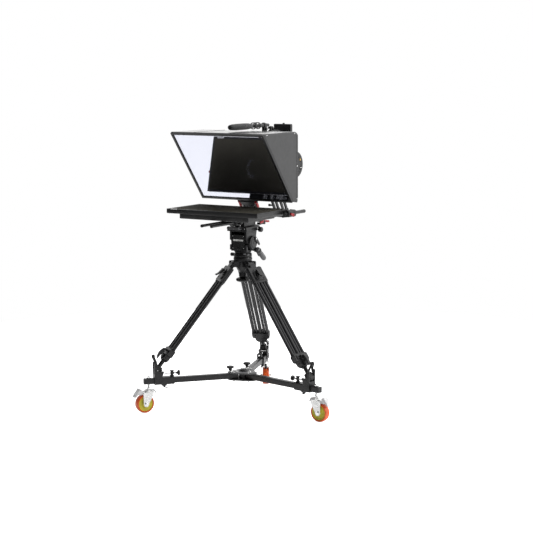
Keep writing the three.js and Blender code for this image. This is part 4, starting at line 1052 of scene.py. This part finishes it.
def hood():
    outer = rounded(hood_profile(0), 4, 6)
    hem = rounded(hood_profile(9), 4, 6)
    for side, sign in HANDS:
        panel = Shape().prism("x", outer, *span(sign, 283, 285.6))
        add(f"hood_side_{side}", "hood", panel, "hood", bevel=0.6, stands_for=["hood_shell"])
        edging = Shape().pipe("x", outer, hem, *span(sign, 285.4, 286.6))
        add(f"hood_hem_{side}", "hood", edging, "hood", bevel=0.4)
    wall = 2.6
    profile, inner = hood_profile(0), hood_profile(wall)
    nose = profile[1][0]
    top = Shape()
    band = rounded([(nose + 2, HOOD_TOP, 0.5), (HOOD_BACK - 26, HOOD_TOP, 10), (HOOD_BACK, HOOD_TOP - 16, 8),
            (HOOD_BACK, 1430, 1), (HOOD_BACK - wall, 1430, 1), (HOOD_BACK - wall, HOOD_TOP - 18, 7),
            (HOOD_BACK - 27, HOOD_TOP - wall, 9), (nose + 4, HOOD_TOP - wall, 0.5)], 1, 5)
    top.prism("x", band, -HOOD_INSIDE, HOOD_INSIDE)
    add("hood_top", "hood", top, "hood_top", bevel=0.5)
    rear = Shape().pipe("y", rectangle(-HOOD_INSIDE, HOOD_INSIDE, 1128, 1431, 2),
            rectangle(-76, 76, 1196, 1346, 8), HOOD_BACK - wall, HOOD_BACK)
    add("hood_rear", "hood", rear, "hood", bevel=0.5)
    sill = Shape()
    band = rounded([(HOOD_BACK - 8, GLASS_Z, 4), (profile[0][0] + 1, GLASS_Z, 0.5),
            (inner[0][0] + 1, GLASS_Z + wall, 0.5), (HOOD_BACK - 9.4, GLASS_Z + wall, 3),
            (HOOD_BACK - wall, HOOD_SILL, 2), (HOOD_BACK, HOOD_SILL, 1)], 1, 4)
    sill.prism("x", band, -HOOD_INSIDE, HOOD_INSIDE)
    add("hood_sill", "hood", sill, "hood", bevel=0.4)

    collar = Shape()
    collar.pipe("y", rectangle(-84, 84, 1188, 1354, 12), rectangle(-75, 75, 1197, 1345, 8), HOOD_BACK - 0.4,
            HOOD_BACK + 2.4)
    add("camera_collar", "hood", collar, "rubber", bevel=0.8)
    sleeve = Shape()
    folds = ((84, 0, 12), (80, 5, 14), (66, 8, 26), (68, 12, 30), (57, 16, 44), (59, 20, 48), (51.5, 25, 51))
    rings = [[(u, HOOD_BACK + 2 + step, v) for u, v in rectangle(-half, half, LENS_Z - half, LENS_Z + half,
            corner, 8)] for half, step, corner in folds]
    hollow = [[(0.97 * u, y - 1.6, LENS_Z + 0.97 * (v - LENS_Z)) for u, y, v in ring]
            for ring in reversed(rings)]
    sleeve.loft(rings + hollow, closed=True)
    add("lens_sleeve", "hood", sleeve, "flock", bevel=0, angle=60)
    lining = Shape()
    inside = [point[:2] for point in rounded(hood_profile(wall + 0.3), 3, 4)]
    lining.twins("x", inside, 281.4, 282.8)
    lining.prism("x", rounded([(nose + 6, HOOD_TOP - wall - 0.2, 0.5),
            (HOOD_BACK - 28, HOOD_TOP - wall - 0.2, 2), (HOOD_BACK - 29, HOOD_TOP - wall - 1.6, 2),
            (nose + 7, HOOD_TOP - wall - 1.6, 0.5)], 1, 3), -281.6, 281.6)
    lining.pipe("y", rectangle(-281.6, 281.6, 1120, 1462, 2), rectangle(-77, 77, 1195, 1347, 8),
            HOOD_BACK - wall - 1.6, HOOD_BACK - wall - 0.2)
    add("hood_lining", "hood", lining, "flock", bevel=0)

    hardware = Shape()
    def snap(axis, at, face):
        dome = [(0, 0), (3.2, 0), (3.6, 0.5 * face), (2.4, 1.4 * face), (0, 1.6 * face)]
        hardware.lathe(axis, dome, at, 24)
    for face in (-1, 1):
        for y, z in ((HOOD_BACK - 10, 1128), (HOOD_BACK - 8, 1300), (HOOD_BACK - 34, 1472),
                (nose + 30, 1473)):
            snap("x", (286.4 * face, y, z), face)
    for x in (-240, -120, 120, 240):
        for z in (1128, 1456):
            snap("y", (x, HOOD_BACK, z), 1)
    add("hood_snaps", "hood", hardware, "chrome", bevel=0.1)
    lugs = Shape()
    lugs.twins("x", rounded([(HOOD_BACK - 22, 1110), (HOOD_BACK - 4, 1108), (HOOD_BACK + 2, 1120),
            (HOOD_BACK + 2, 1136), (HOOD_BACK - 6, 1136), (HOOD_BACK - 12, 1116)], 2, 4), 276, 284)
    for x in (-92, 92):
        for z in ((1212, 1240), (1304, 1332)):
            lugs.block((x - 7, x + 7), (HOOD_BACK + 0.2, HOOD_BACK + 5), z, "y", 3)
    add("hood_lugs", "hood", lugs, "plastic", bevel=0.6)
    ridges = Shape()
    for start, end in both(150, 152.4):
        ridges.block((start, end), (nose + 14, HOOD_BACK - 30), (HOOD_TOP - 0.2, HOOD_TOP + 0.9), "y", 0.5)
    add("hood_seams", "hood", ridges, "hood", bevel=0.3)


# ---- Monitor tray --------------------------------------------------------------------------------
def tray():
    middle = (TRAY_FRONT + TRAY_BACK) / 2
    case = Shape()
    def plan(grow, corner=5.0):
        return rectangle(-TRAY_HALF - grow, TRAY_HALF + grow, TRAY_FRONT - grow, TRAY_BACK + grow, corner, 5)
    levels = ((-2.4, TRAY_LIP), (-0.6, TRAY_LIP + 1), (0, TRAY_LIP + 3), (0, TRAY_TOP - 6),
            (-0.6, TRAY_TOP - 5.4))
    case.loft([[(u, v, z) for u, v in plan(grow)] for grow, z in levels])
    add("tray_case", "tray", case, "case", bevel=0.3, stands_for=["monitor_tray"])
    bezel = Shape().pipe("z", plan(0), plan(-12, 2), TRAY_TOP - 5.2, TRAY_TOP)
    bezel.pipe("z", plan(-0.8), plan(-13, 2), TRAY_TOP - 6, TRAY_TOP - 5)
    add("tray_bezel", "tray", bezel, "case", bevel=0.7)
    box = Shape()
    def lower(inset):
        return rectangle(inset - 214, 214 - inset, TRAY_FRONT + 21 + inset, TRAY_BACK - 22 - inset, 6, 5)
    levels = ((4, TRAY_FLOOR), (0.8, TRAY_FLOOR + 1.2), (0, TRAY_FLOOR + 3.6), (0, TRAY_LIP - 0.2))
    box.loft([[(u, v, z) for u, v in lower(inset)] for inset, z in levels])
    add("tray_back_box", "tray", box, "case", bevel=0.4)
    vents = Shape()
    for sign in (-1, 1):
        for i in range(15):
            x = sign * (72 + 8.6 * i)
            for near, far in both(12, 62):
                vents.block((x - 2.6, x + 2.6), (middle + near, middle + far),
                        (TRAY_FLOOR - 0.8, TRAY_FLOOR + 0.4), "z", 2.5)
    for i in range(12):
        x = -190 + 9 * i
        vents.block((x - 2.4, x + 2.4), (TRAY_BACK - 22.4, TRAY_BACK - 21), (TRAY_FLOOR + 7, TRAY_LIP - 7),
                "y", 2)
    add("tray_vents", "tray", vents, "rubber", bevel=0.3)
    ports = Shape()
    rear, port_z = TRAY_BACK - 22, 1043
    for x, width, height in ((20, 16, 7), (48, 16, 7), (78, 12, 12), (104, 12, 12)):
        half, rise = width / 2, height / 2
        ports.pipe("y", rectangle(x - half - 2, x + half + 2, port_z - rise - 2, port_z + rise + 2, 2),
                rectangle(x - half, x + half, port_z - rise, port_z + rise, 1), rear - 1, rear + 2.4)
    for x in (134, 158, 182):
        ports.lathe("y", [(4.4, rear - 1), (7.6, rear - 1), (7.6, rear + 4), (6.8, rear + 5), (4.4, rear + 5),
                (4.4, rear - 1)], (x, 0, port_z), 32)
        ports.bar("y", 1.1, (rear - 1, rear + 3.4), (x, 0, port_z), 12)
    add("tray_ports", "tray", ports, "chrome", bevel=0.2)
    buttons = Shape()
    for i in range(6):
        buttons.solid("y", [(3, TRAY_BACK - 0.4), (3, TRAY_BACK + 1), (2.4, TRAY_BACK + 1.6)],
                (-150 + 14 * i, 0, 1068), 24)
    add("tray_buttons", "tray", buttons, "rubber", bevel=0)
    screws = Shape()
    screws.screws("z", (-TRAY_HALF + 14, TRAY_HALF - 14, -100, 100), (TRAY_FRONT + 10, TRAY_BACK - 10),
            (TRAY_LIP + 0.3,), 3, 1.8, -1)
    screws.screws("z", (-200, 200), (TRAY_FRONT + 36, TRAY_BACK - 36), (TRAY_FLOOR + 0.2,), 3, 1.8, -1)
    add("tray_screws", "tray", screws, "plastic", bevel=0.2)
    strip = Shape().block((-TRAY_HALF + 26, -214), (TRAY_FRONT - 0.5, TRAY_FRONT + 9),
            (TRAY_TOP - 2.4, TRAY_TOP + 0.5), "x", 0.8)
    add("bezel_plate", "tray", strip, "chrome", bevel=0.2)

    clamp = rail_clamp(Shape(), (-130, -80), (992, 1026))
    clamp.prism("z", rectangle(-58, 58, -140, -70, 8, 5), 1024, 1030.4)
    add("tray_rod_clamp", "tray", clamp, "black", bevel=0.8)
    bolts = Shape()
    bolts.screws("z", (-52, 52), (-134, -76), (1024,), 3.4, 2.6, -1)
    bolts.bar("x", 5, (46, 50), TRAY_BOLT, 24)
    add("tray_clamp_bolts", "tray", bolts, "plastic", bevel=0.2)
    wing = Shape().bar("x", 6, (49, 56), TRAY_BOLT, 24)
    wing.prism("x", rounded([(-112, 996), (-98, 996), (-84, 1003), (-84, 1009), (-98, 1005), (-112, 1004)], 3,
            4), 51, 56)
    add("tray_clamp_lever", "tray", wing, "plastic", bevel=0.6)

    jaw = Shape()
    bore = polygon(10, 48, (SIDE_ROD_X, SIDE_ROD_Z))
    for half_x, half_z, start, end in ((17.6, 16, -52, -45), (17, 15, -45, -43), (17.6, 17.4, -43, -3),
            (16.6, 16.4, -3, -1), (17.6, 18, -1, 20)):
        outer = []
        for u, v in polygon(1, 48):
            reach = min(half_x / max(abs(u), 0.01), half_z / max(abs(v), 0.01), 21)
            outer.append((SIDE_ROD_X + reach * u, SIDE_ROD_Z + reach * v))
        jaw.pipe("y", outer, bore, start, end)
    jaw.block((281.4, 290), (-60, 18), (SIDE_ROD_Z - 20, SIDE_ROD_Z - 11), "y", 3)
    add("side_clamp", "tray", jaw, "plastic", bevel=0.5)
    lever = Shape()
    for y, z, radius in ((-14, 1052, 8.6), (-36, 1059, 6)):
        lever.solid("x", [(radius - 1, 319.6, 1), (radius, 321, 1), (radius, 326, 1),
                (radius - 1.4, 327.6, 1)], (0, y, z), 72, flutes=12, depth=0.5)
    lever.prism("x", rounded([(-16, 1045, 3), (-6, 1050, 4), (-12, 1060, 4), (-36, 1065, 4), (-41, 1056, 3)],
            4, 5), 322, 327)
    add("side_clamp_lever", "tray", lever, "red", bevel=0.5)
    screws = Shape()
    for y in (-36, 8):
        screws.screw("x", (319.6, y, 1065), 2.6, 2).screw("z", (294, y, 1078), 3, 2)
    screws.screw("x", (327.4, -14, 1052), 3.2, 1.4)
    add("side_clamp_screws", "tray", screws, "plastic", bevel=0.2)
    rod = Shape().pipe("y", polygon(SIDE_ROD_RADIUS, 40, (SIDE_ROD_X, SIDE_ROD_Z)),
            polygon(SIDE_ROD_RADIUS - 2, 40, (SIDE_ROD_X, SIDE_ROD_Z)), SIDE_ROD_FRONT, SIDE_ROD_BACK - 4)
    add("side_tube", "side_rod", rod, "black", bevel=0.3, stands_for=["side_rod"])
    plug = Shape().lathe("y", [(0, SIDE_ROD_BACK), (4, SIDE_ROD_BACK - 0.4), (8, SIDE_ROD_BACK - 3),
            (9.7, SIDE_ROD_BACK - 7), (9.7, SIDE_ROD_BACK - 14), (0, SIDE_ROD_BACK - 14)], SIDE_ROD, 40)
    plug.bar("y", 7.4, (SIDE_ROD_FRONT - 1, SIDE_ROD_FRONT + 8), SIDE_ROD, 32)
    add("side_tube_plugs", "side_rod", plug, "rubber", bevel=0)
    knob = Shape().solid("x", [(4.6, -292.4), (6, -291.4, 1), (6.4, -290, 1), (6.4, -285.4, 1), (5, -284.2),
            (2.4, -284.2), (2.4, -279)], (0, -107, 1070), 60, flutes=10, depth=0.4)
    add("tray_thumb_screw", "tray_screw", knob, "red", bevel=0, stands_for=["tray_screw"])


# ---- Camera side ---------------------------------------------------------------------------------
def riser():
    foot = rail_clamp(Shape(), (370, 430), (990, 1022))
    foot.block((-40, 40), (374, 426), (1021, 1026), "z", 5)
    add("riser_foot", "rig", foot, "black", bevel=0.8, stands_for=["camera_riser"])
    lean = math.tan(math.radians(30))
    posts, sleeves = Shape(), Shape()
    for x in (-27, 27):
        for y in (381, 418):
            def at(z, x=x, y=y):
                return (x, y - (z - 1014) * lean, z)
            posts.sweep([at(1016), at(1186)], rectangle(-5, 5, -8, 8, 1.6, 3), (1, 0, 0))
            for start, end in ((1022, 1034), (1174, 1185)):
                sleeves.sweep([at(start), at(end)], rectangle(-7, 7, -10, 10, 2, 3), (1, 0, 0))
    add("riser_posts", "rig", posts, "case", bevel=0.4)
    add("riser_sleeves", "rig", sleeves, "black", bevel=0.5)
    plate = Shape().prism("z", rectangle(-45, 45, 262, 342, 7, 5), 1184, 1192.2)
    for x in (-36, 36):
        plate.block((x - 5, x + 5), (268, 336), (1179, 1185), "y", 2)
    add("riser_plate", "rig", plate, "black", bevel=0.8)
    knob = Shape().solid("x", [(4, -47), (6.4, -46), (6.6, -44), (6.6, -37), (6, -35), (3, -34), (3, -26)],
            (0, 337, 1058), 48, flutes=8, depth=0.4)
    knob.sweep([(-27, 350, 1056), (-27, 344, 1057), (-27, 337, 1058), (-27, 330, 1058)],
            rectangle(-5, 5, -3, 3, 1.5, 3))
    add("riser_lock_knob", "rig", knob, "plastic", bevel=0)
    screws = Shape()
    screws.screws("z", (-34, 34), (280, 324), (1179,), 3.2, 2.4, -1)
    screws.screws("z", (-34, 34), (380, 420), (1026,), 3.2, 2.4)
    screws.solid("z", [(8, 1180, 1), (8, 1184, 1)], (0, 302, 0), 48, flutes=14, depth=0.3)
    add("riser_screws", "rig", screws, "chrome", bevel=0.2)


def camera_section(inset):
    """The camera's cross-section as (x, z), drawn in by inset."""
    half, floor, top = CAMERA_HALF - inset, CAMERA_FLOOR + inset, CAMERA_TOP - inset
    return rounded([(14 - half, floor, 5), (half - 14, floor, 5), (half, floor + 22, 9), (half, top - 30, 9),
            (half - 26, top, 8), (26 - half, top, 8), (-half, top - 30, 9), (-half, floor + 22, 9)], 8, 5)


def camera():
    body = Shape()
    rings = ((5, 205), (1.6, 207), (0, 211), (0, 262), (1.4, 263), (1.4, 265), (0, 266), (0, 398), (1.4, 399),
            (1.4, 401), (0, 402), (0, 443), (1.6, 448), (6, 450))
    body.loft([[(u, y, v) for u, v in camera_section(inset)] for inset, y in rings])
    add("camera_shell", "rig", body, "camera", bevel=0, stands_for=["camera_body"], angle=28)
    covers = Shape()
    covers.prism("x", rectangle(222, 388, 1222, 1296, 7, 5), -71.8, -69)
    covers.prism("x", rectangle(412, 440, 1216, 1300, 5, 5), -71.6, -69)
    covers.prism("x", rectangle(216, 322, 1222, 1298, 7, 5), 69, 71.6)
    covers.prism("z", rectangle(-34, 34, 255, 395, 6, 5), 1334, 1337)
    covers.prism("y", rectangle(-44, 44, 1214, 1300, 6, 5), 449, 456)
    covers.prism("y", rectangle(-36, 36, 1222, 1292, 6, 5), 455, 476)
    add("camera_covers", "rig", covers, "camera", bevel=1.2)
    keys = Shape()
    for i in range(5):
        keys.block((-73.4, -71.2), (236 + 17 * i, 247 + 17 * i), (1281, 1288), "x", 2)
        keys.solid("x", [(4.6, -71.4), (4.6, -73.2), (3.6, -74)], (0, 241 + 17 * i, 1264), 24)
    for y in (252, 286):
        keys.solid("x", [(10, -71.4, 1), (10, -77, 1), (9, -78.4, 1)], (0, y, 1240), 72, 18, 0.4)
    for z in (1232, 1250, 1268, 1286):
        keys.block((-73, -71.2), (418, 434), (z - 5, z + 5), "x", 2)
    for y in range(228, 312, 9):
        keys.block((71.2, 72.8), (y, y + 5), (1232, 1288), "x", 2)
    add("camera_keys", "rig", keys, "rubber", bevel=0.4)
    lens = Shape().lathe("y", [(33, 133), (34, 126), (40, 125), (45, 126), (46, 128), (46, 148), (43.6, 149),
            (43.6, 152), (45.4, 153, 1), (45.4, 170, 1), (43.6, 171), (43.6, 174), (45, 175, 1), (45, 188, 1),
            (43.6, 189), (43.6, 192), (46, 193), (46, 206.4), (33, 206.4), (33, 133)], (0, 0, LENS_Z), 120,
            flutes=40, depth=0.35)
    add("lens_barrel", "rig", lens, "camera", bevel=0.3)
    front = Shape().lathe("y", [(0, 131), (12, 131.6), (24, 134), (33.4, 138.6), (33.4, 144), (0, 144)],
            (0, 0, LENS_Z), 72)
    add("lens_element", "rig", front, "lens", bevel=0)

    grip = Shape().solid("x", [(68, 69), (71, 70.4), (72, 73), (72, 78), (70.4, 79.4), (70.4, 81), (72, 82.4),
            (72, 88), (70.8, 90.6), (68, 92), (58, 92), (56.6, 91), (40, 91), (38.6, 92)], GRIP, 120)
    add("side_grip_disc", "rig", grip, "camera", bevel=0)
    fins = Shape()
    for i in range(20):
        fin = Shape().block((91, 92.6), (-1.1, 1.1), (43, 54), "x", 0.6)
        fins.absorb(fin, shift(*GRIP) @ turn(18 * i, "X"))
    fins.solid("x", [(16, 91.6), (16, 93), (14, 94)], GRIP, 48)
    add("side_grip_fins", "rig", fins, "rubber", bevel=0.2)
    amber = Shape().prism("x", rounded([(440, 1303), (450, 1303), (448, 1317), (443, 1313)], 1.2, 3), 91.8,
            92.5)
    add("amber_mark", "rig", amber, "amber", bevel=0.1)
    pale = Shape().prism("x", rounded([(444, 1258), (460, 1261), (459, 1265), (449, 1264), (448, 1256)], 0.8,
            3), 91.8, 92.5)
    add("pale_mark", "rig", pale, "print", bevel=0.1)
    ports = Shape()
    for z in (1238, 1262, 1286):
        ports.lathe("y", [(3.6, 449), (6.6, 449), (6.6, 455), (5.8, 456), (3.6, 456), (3.6, 449)], (57, 0, z),
                28)
        ports.bar("y", 0.9, (449, 454), (57, 0, z), 10)
    add("camera_ports", "rig", ports, "chrome", bevel=0.2)

    handle = Shape()
    section = rectangle(-16, 16, -11, 11, 8, 6)
    path = [(0, 222, 1334), (0, 222, 1420), (0, 226, 1446), (0, 244, 1457), (0, 280, 1457), (0, 340, 1457),
            (0, 372, 1457), (0, 388, 1446), (0, 390, 1420), (0, 390, 1334)]
    handle.sweep(curve(path, 6), section, up=(1, 0, 0))
    handle.block((-22, 22), (210, 240), (1334, 1342), "z", 6).block((-22, 22), (376, 404), (1334, 1342), "z",
            6)
    handle.block((-9, 9), (396, 415), (1427, 1441), "x", 5)
    handle.bar("x", 7, (-9, 9), HINGE, 32).bar("x", 3, (-17, 17), HINGE, 20)
    handle.block((-12, 12), (300, 352), (1466, 1470), "z", 3)
    handle.block((-12, -9), (302, 350), (1469, 1474), "z", 1).block((9, 12), (302, 350), (1469, 1474), "z", 1)
    add("carry_handle", "rig", handle, "camera", bevel=0.5)
    keys = Shape().solid("x", [(9, 15), (9, 20), (7.6, 21.4)], (0, 246, 1452), 36)
    keys.block((-10, 10), (252, 268), (1466, 1469.4), "z", 4)
    add("handle_keys", "rig", keys, "rubber", bevel=0.5)


def microphone():
    foam = Shape().lathe("y", [(0, MIC_FRONT), (7, MIC_FRONT + 0.6), (11.4, MIC_FRONT + 3),
            (13.8, MIC_FRONT + 9), (15.6, MIC_FRONT + 26), (16.8, -60), (17.2, 0), (16.6, 46), (15, 66),
            (12.6, 80), (9, MIC_BACK), (0, MIC_BACK)], (0, 0, MIC_Z), 48)
    add("mic_windscreen", "rig", foam, "foam", bevel=0, stands_for=["microphone"])
    tube = Shape().solid("y", [(8.6, 86), (8.6, 104), (9.6, 106), (9.6, 128), (8.6, 130), (8.6, 186),
            (9.8, 188), (9.8, 240), (8.4, 242), (8.4, 258), (7, MIC_END)], (0, 0, MIC_Z), 40)
    add("mic_tube", "rig", tube, "case", bevel=0)
    mount = Shape()
    for y, lean in ((108, -2), (156, 2)):
        ring = Shape().lathe("y", [(14.4, -4), (17.6, -4), (18.6, -3), (18.6, 3), (17.6, 4), (14.4, 4),
                (14.4, -4)], steps=56)
        for i in range(6):
            spoke = Shape().bar("z", 1.4, (8.8, 15.4), steps=12)
            ring.absorb(spoke, turn(60 * i + 15, "Y"))
        mount.absorb(ring, shift(0, y, MIC_Z) @ turn(lean, "X"))
    for angle in (90, 210, 330):
        x, z = 16.6 * math.cos(math.radians(angle)), 16.6 * math.sin(math.radians(angle))
        mount.bar("y", 2.2, (108, 156), (x, 0, MIC_Z + z), 16)
    mount.lathe("y", [(10, 206), (13.4, 206), (14.4, 207), (14.4, 221), (13.4, 222), (10, 222), (10, 206)],
            (0, 0, MIC_Z), 40)
    mount.block((-8, 8), (208, 236), (1468.2, MIC_Z - 9), "x", 3)
    mount.solid("x", [(7, 8, 1), (7, 15, 1), (5.6, 17, 1)], (0, 222, 1482), 48, flutes=9, depth=0.5)
    add("mic_shock_mount", "rig", mount, "plastic", bevel=0.4)
    joint = Shape().lathe("z", [(0, 1468), (11, 1468), (12, 1470), (12, 1474), (7, 1476), (7, 1482),
            (9.4, 1486), (9.4, 1492), (6, 1496), (0, 1497)], (0, 284, 0), 40)
    joint.solid("x", [(6, -15, 1), (6, -9, 1)], (0, 284, 1487), 40, flutes=8, depth=0.5)
    joint.sweep(curve([(0, 286, 1489), (0, 296, 1492), (0, 304, 1486), (0, 310, 1474)], 4),
            rectangle(-6, 6, -3.6, 3.6, 2, 3), up=(1, 0, 0))
    add("accessory_joint", "rig", joint, "plastic", bevel=0.3)


def flip_monitor():
    shell = Shape()
    def face(inset):
        return rectangle(inset - 55, 55 - inset, 1443 + inset, 1503 - inset, 5, 5)
    levels = ((3, 404), (0.8, 405.2), (0, 407.4), (0, 422), (0.8, 424.6), (2.4, 425.4))
    shell.loft([[(u, y, v) for u, v in face(inset)] for inset, y in levels])
    for start, end in both(9.8, 16.8):
        shell.bar("x", 7, (start, end), HINGE, 28).block((start, end), (408.4, 421.6), (1434, 1444.4), "x", 2)
    shell.solid("z", [(5.6, 1502.4), (6, 1503.4), (6, 1507.4), (5, 1508.6)], (4, 415, 0), 28)
    add("flip_monitor_shell", "flip_monitor", shell, "camera", bevel=0.5, stands_for=["flip_monitor"])
    screen = Shape().prism("y", rectangle(-49, 49, 1450, 1498, 2, 4), 425.2, 426)
    add("flip_monitor_screen", "flip_monitor", screen, "lens", bevel=0.2)


# ---- CAD nodes that keep their own shape ---------------------------------------------------------
def keep_node(node, look):
    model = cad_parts[node]
    for slot in model.material_slots:
        slot.material = LOOKS[look].material


# ---- Studio --------------------------------------------------------------------------------------
FLOOR_RADIUS = 3.2
FLOOR_SHINE = 0.3  # how much brighter the paper is in a mirror than its light makes it
VIEW_FROM = (4182, -6460, 1824)  # millimetres from the tripod's axis
VIEW_HEADING, VIEW_DROP, VIEW_ROLL, VIEW_LENS = 31.98, 7.89, -0.18, 98.1
BRIGHT_SIDE = (0.34, 0.92, 0.16)  # the soft light comes from behind and from the right


def floor():
    mesh = bmesh.new()
    bmesh.ops.create_circle(mesh, cap_ends=True, segments=128, radius=FLOOR_RADIUS)
    data = bpy.data.meshes.new("floor")
    mesh.to_mesh(data)
    mesh.free()
    ground = bpy.data.objects.new("floor", data)
    ground.location = (0, 0, cad_low[2] - 0.0004)
    scene.collection.objects.link(ground)
    paper = bpy.data.materials.new("white_paper")
    paper.use_nodes = True
    shader = paper.node_tree.nodes["Principled BSDF"]
    shader.inputs["Base Color"].default_value = (0.85, 0.85, 0.853, 1)
    shader.inputs["Roughness"].default_value = 0.9
    shader.inputs["Specular IOR Level"].default_value = 0.1
    shader.inputs["Emission Color"].default_value = (1, 1, 1, 1)
    seen = paper.node_tree.nodes.new("ShaderNodeLightPath")
    glow = paper.node_tree.nodes.new("ShaderNodeMath")
    glow.operation = "MULTIPLY_ADD"
    glow.inputs[1].default_value = FLOOR_SHINE
    paper.node_tree.links.new(seen.outputs["Is Glossy Ray"], glow.inputs[0])
    paper.node_tree.links.new(seen.outputs["Is Camera Ray"], glow.inputs[2])
    paper.node_tree.links.new(glow.outputs[0], shader.inputs["Emission Strength"])
    data.materials.append(paper)
    ground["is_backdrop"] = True


def backdrop():
    """A white world that is bright behind and to the right of the object and dim in front of it."""
    world = bpy.data.worlds.new("studio")
    scene.world = world
    world.use_nodes = True
    nodes, links = world.node_tree.nodes, world.node_tree.links
    nodes.clear()

    def node(kind, **settings):
        made = nodes.new(kind)
        for name, value in settings.items():
            setattr(made, name, value)
        return made

    direction = node("ShaderNodeTexCoord").outputs["Generated"]
    towards = node("ShaderNodeVectorMath", operation="DOT_PRODUCT")
    links.new(direction, towards.inputs[0])
    towards.inputs[1].default_value = Vector(BRIGHT_SIDE).normalized()
    level = node("ShaderNodeMapRange", interpolation_type="SMOOTHSTEP")
    for name, number in (("From Min", -0.55), ("From Max", 0.75), ("To Min", 0.1), ("To Max", 1.35)):
        level.inputs[name].default_value = number
    links.new(towards.outputs["Value"], level.inputs["Value"])
    soft = node("ShaderNodeBackground")
    soft.inputs["Color"].default_value = (1.0, 1.0, 1.0, 1)
    links.new(level.outputs["Result"], soft.inputs["Strength"])
    plain = node("ShaderNodeBackground")
    plain.inputs["Color"].default_value = (1, 1, 1, 1)
    seen = node("ShaderNodeLightPath")
    mix = node("ShaderNodeMixShader")
    links.new(seen.outputs["Is Camera Ray"], mix.inputs["Fac"])
    links.new(soft.outputs[0], mix.inputs[1])
    links.new(plain.outputs[0], mix.inputs[2])
    links.new(mix.outputs[0], node("ShaderNodeOutputWorld").inputs["Surface"])


def softbox(name, place, target, size, power):
    data = bpy.data.lights.new(name, "AREA")
    data.shape = "DISK"
    data.size = size
    data.energy = power
    lamp = bpy.data.objects.new(name, data)
    lamp.location = place
    lamp.rotation_mode = "QUATERNION"
    lamp.rotation_quaternion = (Vector(target) - Vector(place)).to_track_quat("-Z", "Y")
    scene.collection.objects.link(lamp)


def viewpoint():
    data = bpy.data.cameras.new("view")
    data.sensor_width = 36
    data.lens = VIEW_LENS
    data.clip_start, data.clip_end = 0.05, 100
    view = bpy.data.objects.new("view", data)
    scene.collection.objects.link(view)
    place = Matrix.Translation(AXIS + Vector(VIEW_FROM) * MM)
    view.matrix_world = place @ turn(VIEW_HEADING, "Z") @ turn(90 - VIEW_DROP, "X") @ turn(VIEW_ROLL, "Z")
    scene.camera = view


# ---- Putting it together -------------------------------------------------------------------------
viewpoint()
hub()
for side in SIDES:
    arm(side)
    foot_holder(side)
    caster(side)
    leg(side)
crown()
head()
platform()
rod_rig()
centre_bracket()
glass()
hood()
tray()
riser()
camera()
microphone()
flip_monitor()
keep_node("beam_splitter", "glass")
keep_node("monitor_screen", "screen")

floor()
backdrop()
softbox("top_softbox", (0.3, 0.4, 4.2), (0, 0, 0.4), 3.0, 90)
softbox("right_softbox", (3.6, 1.2, 2.0), (0, 0, 0.9), 1.6, 40)
scene.view_settings.view_transform = "Standard"

low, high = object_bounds()
